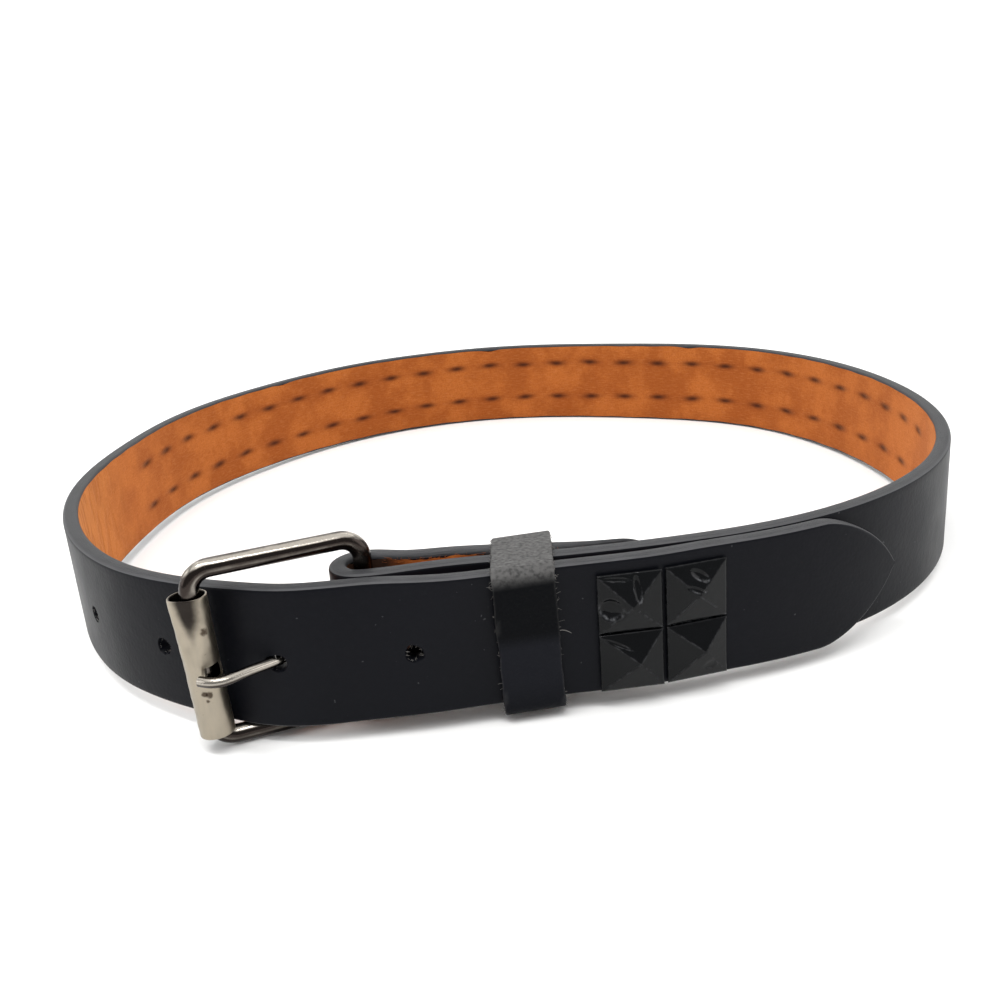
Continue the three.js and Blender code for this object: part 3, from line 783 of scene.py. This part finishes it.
def strip_sizes():
    """Distances along the strip, with its thickness and half height there. The pared end's corners
    are lowered by 2.6 mm at the end, falling as (1 - s / 8)^2."""
    s = stations()
    corner = 2.6 * np.clip(1 - s / 8, 0, 1) ** 2
    return s, wall_at(s)[:, None], (half_height(s) - corner)[:, None]


def bend_share(s):
    """How hard the strip is bent, for the creases inside: up to 1 at the loop's left end and up
    to a half at its right."""
    left = np.interp(s - strap.passing, [-165, -120, -95, -60], [0.0, 1.0, 0.8, 0.0])
    right = np.interp(s - strap.back, [-300, -250, -215], [0.0, 0.5, 0.0])
    return np.maximum(left, right)


def strip_mesh(name, s, off, z, looks, look_of_face=None, middle=WIDTH / 2, **shares):
    """A layer of the strip, from the offsets off and heights z of its section at each distance s.
    Its strip attribute is (distance, height, offset), with the height WIDTH / 2 at middle."""
    points, faces = closed_rings(strip_grid(s, off, WIDTH / 2 + z))
    strip = np.stack([np.broadcast_to(s[:, None], off.shape), WIDTH + z - middle, off], -1)
    strip = strip.reshape(-1, 3)
    fields = {"strip": np.vstack([strip, strip[:2]])}
    for key, share in shares.items():
        fields[key] = np.append(np.broadcast_to(share, off.shape), [0, 0])
    return mesh_of(name, points, faces, looks, fields, look_of_face)


def make_strap():
    """Section: the outer face, a rounded edge of quarter arcs, the inner side, the other edge."""
    s, wall, half = strip_sizes()
    out = wall / 2
    inn = -wall / 2 + np.minimum(0.22, 0.3 * wall)
    r = np.minimum(0.85, np.minimum(0.36 * wall, 0.45 * half))
    t = np.linspace(0, np.pi / 2, 6)
    face_z = np.linspace(-1, 1, 26) * (half - r)
    arc_off, arc_z = out - r + r * np.cos(t), half - r + r * np.sin(t)
    across = np.linspace(0, 1, 7)[1:-1]
    top_off = out - r + (inn + r - (out - r)) * across
    crown = 0.06 * np.sin(np.pi * across)
    back_off, back_z = inn + r - r * np.sin(t), half - r + r * np.cos(t)
    inner_z = np.linspace(1, -1, 16)[1:-1] * (half - r)
    off = np.hstack([np.broadcast_to(out, face_z.shape), arc_off[:, 1:], top_off, back_off,
                     np.broadcast_to(inn, inner_z.shape), back_off[:, ::-1], top_off[:, ::-1],
                     arc_off[:, :0:-1]])
    z = np.hstack([face_z, arc_z[:, 1:], half + crown, back_z, inner_z,
                   -back_z[:, ::-1], -half - crown[::-1], -arc_z[:, :0:-1]])
    sag = 0.05 * np.sin(s / 37.0)[:, None] + 0.04 * np.sin(s / 11.0 + 2)[:, None]
    z = z + sag * np.sign(z) * (np.abs(z) > 14.6)
    rows, cols = off.shape
    n_face = face_z.shape[1]
    n_edge = arc_off.shape[1] - 1 + top_off.shape[1] + back_off.shape[1]
    edge_cols = np.zeros(cols, int)
    edge_cols[n_face + 1:n_face + n_edge - 1] = 1
    edge_cols[cols - n_edge:cols - 2] = 1
    look = np.concatenate([np.tile(edge_cols, rows - 1), np.zeros(2 * cols, int)])
    arris = np.zeros(cols)
    arris[n_face - 1:n_face + 4] = [0.3, 0.9, 1.0, 0.9, 0.5]
    arris[cols - 4:] = [0.5, 0.9, 1.0, 0.9]
    arris[0] = 0.3
    fade = np.clip((strap.end - s) / TIP, 0.0, 1.0)[:, None] ** 2
    made = strip_mesh("strap_leather", s, off, z, [coated_leather(), edge_paint()], look,
                      arris=arris * fade)
    cut(made, hole_cutters())
    piece(made, "black_leather", "strap")


def make_suede():
    """The inner layer: a skin under a millimetre thick whose edge wanders where the paint laps it."""
    s, wall, half = strip_sizes()
    inn, skin = -wall / 2, np.minimum(SUEDE, 0.6 * wall)
    smooth = np.interp(s, [0, strap.fold_from, strap.fold_to, strap.fold_to + 8], [1, 1, 0.6, 0])
    ragged = np.convolve(rng.uniform(0, 1, len(s)), [0.25, 0.5, 0.25], "same")
    lap_top = 0.6 + 0.07 * np.sin(s / 3.1) * np.sin(s / 7.7 + 1) + 0.04 * np.sin(s / 1.9)
    lap_top = lap_top + 0.8 * smooth * ragged
    lap_low = 0.6 + 0.07 * np.sin(s / 3.7 + 2) * np.sin(s / 6.1) + 0.04 * np.sin(s / 2.3)
    for centre, size in ((4, 0.7), (-78, 0.55), (95, 0.5)):
        lap_top = lap_top + size * np.exp(-((s - strap.back - centre) / 3.0) ** 2)
    share = np.linspace(0, 1, 24)
    top = np.maximum(half - lap_top[:, None], 0.2)
    low = -np.maximum(half - lap_low[:, None], 0.2)
    round_off = sum(0.18 * np.exp(-((end * 29) ** 2) / 0.6) for end in (share, 1 - share))
    off = np.hstack([inn + round_off * np.minimum(1, wall / 2), inn + skin, inn + skin])
    z = np.hstack([top + (low - top) * share, low + 0.1, top - 0.1])
    middle = np.interp(s - strap.back, [-180, 0, 60, 172], [15.75, 15.95, 15.4, 14.75])[:, None]
    # Painted shade: near 1 inside the fold and in the wedge at the flap's end, where the suede lies in
    # shadow.
    soil = np.interp(s - strap.fold_from, [-27, -21, -12, -6, 24, 30], [0.95, 0, 0, 0.97, 0.97, 0])
    made = strip_mesh("strap_suede", s, off, z, [suede()], middle=middle,
                      bend=bend_share(s)[:, None], soil=soil[:, None])
    cut(made, hole_cutters(0.7))
    piece(made, "orange_suede", "strap_backing")


def keeper_depths():
    """How far the layers inside the keeper reach in front of and behind its spot."""
    middle = strap.passing + KEEPER_AFTER
    point, along, face = strap.spot(middle)
    origin = point + face * WALL / 2
    half = KEEPER_WIDTH / 2
    s = np.arange(middle - half, middle + half, 0.5)
    front = ((strap.off(s, np.full(len(s), WALL / 2)) - origin) @ face).max()
    s = np.arange(0, strap.fold_from, 0.5)
    reach = strap.off(s, wall_at(s) / 2) - origin
    near = np.abs(reach @ along) < half + 1
    return middle, max(front, 0) + KEEPER_GAP, (reach[near] @ face).min() - KEEPER_GAP


def make_keeper(grey):
    """A flat leather section carried round the strap's layers: pulled down onto the strap's top
    edge and hanging a little below it, with a soft shoulder in front, its cut edges uneven by
    seeded noise. It is twisted: x grows by TWIST * (front - out) / depth. Fibres stand out of its
    cut edges, the first of them the long one on its front."""
    middle, front, back = keeper_depths()
    half_deep, half_high = (front - back) / 2, WIDTH / 2 + KEEPER_GAP
    top, low = WIDTH / 2 + KEEPER_TOP_GAP, -WIDTH / 2 - KEEPER_DROP
    bulge, wall, inner = half_deep + KEEPER_SHOULDER, KEEPER_WALL, KEEPER_CORNER - KEEPER_WALL
    inside = rounded_loop([(bulge, top, 1.4, 2.7), (-half_deep, top, 0.9, 0.9),
                           (-half_deep, low, inner, inner), (half_deep, low, inner, inner)])
    outside = rounded_loop([(bulge + 1.3, top + KEEPER_TOP_WALL, 2.6, 3.8),
                            (-half_deep - wall, top + KEEPER_TOP_WALL, 2.4, 2.1),
                            (-half_deep - wall, low - wall, KEEPER_CORNER, KEEPER_CORNER),
                            (half_deep + wall, low - wall, KEEPER_CORNER, KEEPER_CORNER)])
    half = KEEPER_WIDTH / 2
    across = np.linspace(-half + 0.4, half - 0.4, 15)
    side = [(half - 0.1, 0.06), (half, 0.3), (half, 0.7), (half - 0.12, 0.92)]
    section = np.array([(x, 0) for x in across[::2]] + side + [(x, 1) for x in across[::-1]]
                       + [(-x, share) for x, share in side[::-1]])
    n, m = len(inside), len(section)
    ring = inside[:, None] + (outside - inside)[:, None] * section[None, :, 1:]
    x = np.broadcast_to(section[:, 0], (n, m)).copy()
    rough_edge = rng.normal(0, 1, (n, 2))
    rough_edge = (rough_edge + np.roll(rough_edge, 1, 0) + np.roll(rough_edge, -1, 0)) / 3
    x += np.where(section[:, 0] > half - 0.5, rough_edge[:, :1], 0) * 0.13
    x += np.where(section[:, 0] < -half + 0.5, rough_edge[:, 1:], 0) * 0.13
    up = ring[..., 1]
    bow = np.clip((ring[..., 0] - half_deep * 0.6) / (half_deep * 0.4 + wall), 0, 1)
    out = ring[..., 0] + 0.25 * bow * np.cos(np.pi / 2 * up / (half_high + wall))

    def settled(x, up, out):
        x = x + KEEPER_SHIFT + KEEPER_TWIST * (half_deep - out) / (2 * half_deep)
        local = np.stack([*turned(x, up, -np.radians(KEEPER_LEAN)), out + (front + back) / 2], -1)
        return on_face(middle, WIDTH / 2, local)

    worn = np.clip((up - half_high + 3.0) / 2.4, 0, 1) + 0.15 * (np.abs(x) > half - 0.3)
    made = mesh_of("keeper_leather", settled(x, up, out), [grid_faces(n, m, True, True)],
                   [grained_leather()], {"worn": np.clip(worn, 0, 1).ravel()})
    piece(made, "black_leather", "keeper")
    strands = []
    t = np.linspace(0, 1, 5)[:, None]
    for k in range(KEEPER_FIBRES):
        i, side, depth = rng.integers(0, n), rng.choice([-1, 1]), rng.uniform(0.1, 0.95)
        spot = inside[i] + (outside[i] - inside[i]) * depth
        length = rng.uniform(0.25, 1.0) if k else 2.6
        wander = rng.normal(0, 0.3, 3) if k else np.array([0.0, -0.45, 0.1])
        aim = np.array([side * rng.uniform(0.4, 1.0), *rng.normal(0, 0.7, 2)])
        if k == 0:
            spot, side, aim = (half_deep + wall * 0.7, 1.2), 1, np.array([1.0, 0.25, 0.25])
        start = np.array([side * (half - 0.05), spot[1], spot[0]])
        hair = start + t * length * unit(aim) + t**2 * wander * length
        strands.append((settled(*hair.T), rng.uniform(0.03, 0.06) if k else 0.09))
    threads("keeper_fibres", strands, grey, "black_leather")


def threads(name, strands, look, slot):
    """Many short three-sided tapering tubes as one mesh."""
    points, faces = merged(sweep(path, radius * np.linspace(1, 0.4, len(path)), (0.31, 0.52, 0.79), 3)
                           for path, radius in strands)
    piece(mesh_of(name, points, faces, [look]), slot)


def make_loose_fibres(grey, orange):
    """Fibres torn up round the punched holes, and the suede's nap along the flap's top edge."""
    t = np.linspace(0, 1, 4)[:, None]
    strands = []
    for k, spot in hole_places.items():
        for angle in rng.uniform(0, 2 * np.pi, 26 if k else 12):
            ray = on_circle(angle)
            depth = -rng.uniform(0.25, 1.3)
            across = ray * (HOLE_RADIUS + 0.1) - ray * t * rng.uniform(0.3, 0.9) \
                + t**2 * rng.normal(0, 0.22, 2)
            hair = np.column_stack([across, depth + 0.35 * t])
            strands.append((on_face(spot, HOLE_HEIGHT, hair), rng.uniform(0.04, 0.07)))
    threads("hole_fibres", strands, grey, "black_leather")
    strands = []
    for s in rng.uniform(strap.fold_from - 48, strap.fold_from - 5, 150):
        point, along, face = strap.spot(s)
        stand = -wall_at(s) / 2 - 0.05 - t * rng.uniform(0.15, 0.5)
        plan = point + face * stand + along * t * rng.normal(0, 0.5)
        height = WIDTH - rng.uniform(0.5, 1.6) + t * rng.uniform(0.0, 0.6)
        strands.append((np.column_stack([plan, height]), rng.uniform(0.03, 0.06)))
    threads("nap_fibres", strands, orange, "orange_suede")


def tarnish_and_shading_of(points, path, sides, bright_from, dark_from):
    """1 where a tube's side looks down or away, falling to 0 where it looks up: partly polish on top
    and tarnish below, partly a painted highlight on top and painted shade below. The very top is
    dull again, and a fainter painted highlight runs as a streak along the side."""
    rings = points[:len(path) * sides].reshape(len(path), sides, 3) - path[:, None]
    up = rings[..., 2] / np.linalg.norm(rings, axis=-1)
    # Bright on top, dark below: partly polish and tarnish, partly painted highlight and painted shade.
    dull = np.clip((bright_from - up) / (bright_from - dark_from), 0, 1)
    dull = np.maximum(dull, 0.75 * np.clip((up - 0.9) / 0.06, 0, 1))
    # Painted highlight: a fainter light streak along the side.
    dull = (dull * (1 - 0.45 * np.exp(-((up + 0.1) / 0.12) ** 2))).ravel()
    return np.concatenate([dull, np.full(len(points) - len(dull), 0.8)])


def make_wire(name, solid, path, radius, normal, sides, bright_limits, look, joined=False,
              angle=SMOOTH_BELOW):
    """A wire darkened by which way its sides look, partly tarnish and partly painted shade, with a
    painted highlight on top; its pair of limits goes to the function that makes that mask.
    """
    points, faces = sweep(path, radius, normal, sides, joined)
    dull = tarnish_and_shading_of(points, path, sides, *bright_limits)
    piece(mesh_of(name, points, faces, [look], {"tarnish_and_shading": dull}, angle=angle), "nickel", solid)


def make_frame():
    """The wire: one closed tube on the rounded rectangle."""
    path, normal = frame_path(14, 26)
    make_wire("buckle_wire", "buckle_frame", path, WIRE, normal, 36, (0.76, 0.46),
              nickel("nickel_wire", 0.13), True)


def roller_point_of(theta, rho, z):
    """theta is measured from the strap's outward direction towards the strap's forward one."""
    side, up = turned(rho * np.sin(theta), z, np.radians(ROLLER_LEAN))
    out = rho * np.cos(theta)
    plan = roller_bar + side[..., None] * roller_along + out[..., None] * roller_face
    return np.concatenate([plan, (ROLLER_MIDDLE + up)[..., None]], -1)


def make_roller():
    """A tube of rolled sheet: two cylinders joined by rounded lips. Its upper half is pressed in
    over a V that narrows downwards, by (1 - (theta / width(z))^2)^1.2, and the prong has cut a
    notch into its side."""
    rows, turns = 96, 120
    theta = 2 * np.pi * np.arange(turns) / turns
    half = ROLLER_LENGTH / 2
    straight = half - ROLLER_LIP
    z = np.linspace(-straight, straight, rows)
    lip = np.linspace(0, np.pi, 9)[1:-1]
    mid, round_lip, rise = ROLLER - SHEET / 2, SHEET / 2 * np.cos(lip), ROLLER_LIP * np.sin(lip)
    rho = np.concatenate([np.full(rows, ROLLER), mid + round_lip, np.full(rows, ROLLER - SHEET),
                          mid - round_lip])
    zz = np.concatenate([z, straight + rise, z[::-1], -straight - rise])
    th, rr = np.meshgrid(theta, rho)
    zg = np.broadcast_to(zz[:, None], th.shape)
    facing = (th - 0.30 + np.pi) % (2 * np.pi) - np.pi
    width = np.interp(zg, [-4, 4, 12, half], [0.05, 0.55, 0.95, 1.05])
    press = np.clip(1 - (facing / width) ** 2, 0, None) ** 1.2
    press *= np.interp(zg, [-3, 3, 10, half - 2, half], [0, 0.45, 1, 0.9, 0.5])
    second = np.exp(-((facing - 0.25) / 0.4) ** 2 - ((zg + 8.5) / 4.0) ** 2)
    wave = 0.03 * np.sin(zg * 0.7 + 2 * th) + 0.02 * np.sin(zg * 1.9 - th)
    spread = 0.4 * np.sin(th - 0.3) ** 2 * np.interp(zg, [2, half], [0, 1])
    rr = rr - 0.85 * press - 0.12 * second + wave + spread
    # Painted shade and reflection in the mask: the tube's inside darkened, and a dark band high in the
    # pressed dent.
    inside = np.broadcast_to((rho < ROLLER - 0.3)[:, None], th.shape)
    high = np.interp(zg, [2, 6, 11, 15], [0, 0.45, 0.9, 1]) \
        * np.exp(-((facing - 0.2) / np.interp(zg, [2, 15], [0.15, 0.95])) ** 2)
    dull = np.maximum(np.where(inside, 0.85, 0.12), high)
    rust = np.array([(1.25, 8.3, 1.1), (0.5, -5.0, 0.8), (0.78, -5.3, 0.9), (0.62, -6.6, 0.5)])
    spots = zip(placed(roller_point_of(rust[:, 0], ROLLER, rust[:, 1])), rust[:, 2])
    made = mesh_of("roller_tube", roller_point_of(th, rr, zg),
                   [grid_faces(len(rho), turns, True, True)],
                   [nickel("nickel_roller", 0.3, spots, "#9a9182", "#2c2825")],
                   {"tarnish_and_shading": dull.ravel()})
    edge = np.linspace(0, 1, 14)
    start = PRONG_SHORT - 0.7
    upper = np.stack([start + 5.6 * edge, 1.4 + 0.8 * edge + 2.8 * edge**3], -1)
    outline = np.vstack([upper, [upper[-1, 0], -1.5], [start, -1.5]])
    cut(made, [prism("notch", outline, [*roller_bar, prong_outside[-1, 2]], roller_along, roller_face,
                     (-3.2, 2.4, 6.5))])
    piece(made, "nickel", "roller")


def make_prong():
    """A plain tube on the prong's path, its end cut square."""
    make_wire("prong_wire", "prong", np.vstack([prong_eye, prong_outside]), PRONG, (0, 0, 1), 28,
              (0.35, -0.3), nickel("nickel_prong", 0.15), angle=60)


def stud_surface(count, dents=()):
    """Height over a square: band + peak * (1 - m), where m is the high-power mean of |a| and |b|,
    so that the ridges are crisp but not sharp. Dents are flat-bottomed hollows, each (a, b, half
    length, half width, turn, depth). Also gives where the enamel is painted paler: a little wear
    on the ridges and the rim, and a painted highlight, a glint on one side of each dent's rim."""
    a = np.linspace(-1, 1, count)
    a = np.sign(a) * np.abs(a) ** 0.92
    a, b = np.meshgrid(a, a, indexing="ij")
    power = 22
    larger = np.maximum(np.abs(a), np.abs(b))
    m = ((np.abs(a) ** power + np.abs(b) ** power) / 2) ** (1 / power)
    m = np.maximum(m, larger * 0.985)
    rim = np.exp(-((1 - larger) / 0.03) ** 2)
    height = STUD_BAND + STUD_PEAK * (1 - np.clip(m, 0, 1)) - 0.12 * rim
    glint = np.zeros_like(height)
    for x, y, long, wide, turn, depth in dents:
        u, v = turned(a - x, b - y, -np.radians(turn))
        reach = np.hypot(u / long, v / wide)
        height -= depth * np.exp(-reach ** 4)
        # Painted highlight: a glint on one side of each dent's rim.
        facing = np.clip(0.3 - 0.15 * (a - x) / long - 0.6 * (b - y) / wide, 0, 1)
        glint += min(3 * depth, 1) * facing * np.exp(-((reach - 1.05) / 0.12) ** 2)
    ridge = np.exp(-((np.abs(np.abs(a) - np.abs(b))) / 0.03) ** 2) + 0.4 * rim
    return a, b, height, np.clip(0.35 * ridge + 1.8 * glint, 0, 1.8)


def stud_grid(count, dents=(), apex=(0.0, 0.0), long=STUD):
    """Top surface, then a skirt down to the base, closed by a flat underside. The apex is
    pushed sideways by moving every point in proportion to its height share."""
    a, b, height, worn = stud_surface(count, dents)
    lift = np.clip((height - STUD_BAND) / STUD_PEAK, 0, 1)
    top = np.stack([(a + apex[0] * lift) * long / 2, (b + apex[1] * lift) * STUD / 2, height], -1)
    top = top.reshape(-1, 3)
    i = np.arange(count)
    ring = np.concatenate([i * count, (count - 1) * count + i[1:], i[-2::-1] * count + count - 1,
                           i[-2:0:-1]])
    skirt = top[ring] * (0.992, 0.992, 0)
    points = np.vstack([top, skirt, [[0, 0, 0]]])
    n, base = len(ring), len(top)
    j = np.arange(n)
    k = (j + 1) % n
    wall = np.stack([ring, base + j, base + k, ring[k]], -1)
    floor = np.stack([base + j, np.full(n, base + n), base + k], -1)
    worn = np.concatenate([worn.ravel(), np.zeros(n + 1)])
    return points, [np.vstack([grid_faces(count, count)[:, ::-1], wall]), floor], worn


def make_front_studs(look):
    """The two by two on the tail. Each has its apex's sideways shift and its dents."""
    studs = {
        "lower_left": ((0.2, 0.02), [(-0.5, 0.66, 0.36, 0.05, -30, 0.22)]),
        "upper_left": ((0.02, -0.04), [(-0.6, -0.1, 0.33, 0.33, 0, 1.0), (0.2, 0.5, 0.11, 0.4, 3, 0.5),
                                       (-0.45, 0.85, 0.4, 0.06, -6, 0.2)]),
        "lower_right": ((0.12, 0.06), [(0.3, -0.55, 0.2, 0.16, 20, 0.1)]),
        "upper_right": ((-0.06, 0.0), [(0.08, 0.6, 0.3, 0.12, -35, 0.5),
                                       (-0.1, 0.2, 0.3, 0.07, -24, 0.3)]),
    }
    for k, (place, (apex, dents)) in enumerate(studs.items()):
        column, row = divmod(k, 2)
        points, faces, worn = stud_grid(65, dents, apex, STUD_LONG)
        height = WIDTH / 2 - BLOCK_DROP + (row - 0.5) * BLOCK_ROW_PITCH
        points[:, 2] += STUD_GAP
        spot = strap.passing + BLOCK_AFTER + column * BLOCK_PITCH
        made = mesh_of(f"front_stud_{place}_cap", on_face(spot, height, points), faces, [look],
                       {"worn": worn}, angle=STUD_SMOOTH_BELOW)
        piece(made, "black_stud", f"front_stud_{place}")


def make_back_studs(look):
    """A row of the same stud round the back, each turned and pressed a little differently."""
    first = strap.back - (ROW_COUNT - 1) / 2 * ROW_PITCH
    for level, sign in (("lower", -1), ("upper", 1)):
        shapes, markings = [], []
        for i in range(ROW_COUNT):
            dent = (*rng.uniform(-0.6, 0.6, 2), *rng.uniform(0.08, 0.25, 2), rng.uniform(0, 180),
                    rng.uniform(0.0, 0.22))
            points, faces, worn = stud_grid(21, [dent])
            turn = np.radians(rng.normal(0, 0.7))
            points[:, 0], points[:, 1] = turned(points[:, 0], points[:, 1], turn)
            points[:, 2] += STUD_GAP
            height = WIDTH / 2 + sign * ROW_SPREAD / 2
            shapes.append((on_face(first + i * ROW_PITCH, height, points), faces))
            markings.append(worn)
        made = mesh_of(f"back_studs_{level}_caps", *merged(shapes), [look],
                       {"worn": np.concatenate(markings)}, angle=STUD_SMOOTH_BELOW)
        piece(made, "black_stud", f"back_studs_{level}")


def make_camera():
    """The photograph's view, 19.4 degrees down and rolled by 4.5."""
    ahead = np.array([0, np.cos(PITCH), -np.sin(PITCH)])
    right = np.array([1.0, 0, 0])
    down = np.array([0, -np.sin(PITCH), -np.cos(PITCH)])
    image_x, image_y = turned(right, down, -ROLL)
    data = bpy.data.cameras.new("camera")
    data.sensor_width = SENSOR
    data.lens = FOCAL * SENSOR / PICTURE
    data.clip_start, data.clip_end = 0.01, 50
    eye = linked("camera", data)
    pose = np.eye(4)
    pose[:3, :3] = LEAN @ np.stack([image_x, -image_y, -ahead], 1)
    pose[:3, 3] = placed(VIEWPOINT)
    eye.matrix_world = Matrix(pose.tolist())
    bpy.context.scene.camera = eye


def make_stage():
    """Floor swept up into a far wall by a quarter circle."""
    t = np.linspace(0, np.pi / 2, 24)
    run = np.concatenate([[-6.0, 0.0], 1.0 + 0.6 * np.sin(t), [1.6]])[:, None]
    rise = np.concatenate([[0.0, 0.0], 0.6 - 0.6 * np.cos(t), [1.5]])[:, None]
    points = np.stack(np.broadcast_arrays([-6.0, 6.0], run, rise), -1).reshape(-1, 3)
    mesh = bpy.data.meshes.new("floor")
    mesh.from_pydata(points.tolist(), [], grid_faces(len(run), 2)[:, ::-1].tolist())
    mesh.polygons.foreach_set("use_smooth", np.ones(len(mesh.polygons), bool))
    paper, tree = material("white_paper_floor", Roughness=0.9, Specular_IOR_Level=0.1)
    tint = mixed(noise(coords(tree), 300.0), "#f4f4f3", "#f8f8f7")
    mesh.materials.append(plug(paper, Base_Color=tint))
    linked("floor", mesh)


def light(name, place, target, size, watts):
    """A rectangular lamp at a place, in metres, turned to its target."""
    data = bpy.data.lights.new(name, "AREA")
    data.shape = "RECTANGLE"
    data.size, data.size_y = size
    data.energy = watts
    place, target = np.array(place, float), np.array(target, float)
    back = unit(place - target)
    side = unit(np.cross([0, 0, 1] if abs(back[2]) < 0.99 else [0, 1, 0], back))
    pose = np.eye(4)
    pose[:3] = np.stack([side, np.cross(back, side), back, place], 1)
    linked(name, data).matrix_world = Matrix(pose.tolist())


def make_light():
    """One big soft box overhead, a box each side, a front fill, a wash on the far wall, a narrow
    lamp for the metal's highlights and a dim even sky."""
    light("overhead_box", (0.0, 0.25, 1.5), (0, 0.25, 0), (3.0, 2.6), 25)
    light("left_box", (-1.3, -0.1, 0.45), (0, 0, 0.02), (1.2, 0.8), 6)
    light("right_box", (1.3, -0.1, 0.45), (0, 0, 0.02), (1.2, 0.8), 6)
    light("front_fill", (0.0, -1.0, 1.35), (0, 0.1, 0.02), (1.4, 0.4), 5)
    light("wall_wash", (0.0, 0.9, 1.4), (0, 1.5, 0.3), (3.0, 0.3), 8)
    light("strip_lamp", (-0.15, -0.45, 1.1), (0, -0.1, 0.02), (0.9, 0.07), 6)
    world = bpy.data.worlds.new("studio")
    bpy.context.scene.world = world
    world.use_nodes = True
    sky = world.node_tree.nodes["Background"]
    sky.inputs["Color"].default_value = (1, 1, 1, 1)
    sky.inputs["Strength"].default_value = 0.42
    bpy.context.scene.view_settings.view_transform = "Standard"


make_camera()
make_stage()
make_light()
make_strap()
make_suede()
loose_grey = leather_fibre("loose_leather_fibre", "#4c4a48", "#8f8c88")
make_keeper(loose_grey)
make_loose_fibres(loose_grey, leather_fibre("loose_suede_fibre", "#7a3c18", "#b0642f"))
make_frame()
make_roller()
make_prong()
stud_enamel = enamel()
make_front_studs(stud_enamel)
make_back_studs(stud_enamel)

bpy.context.view_layer.update()
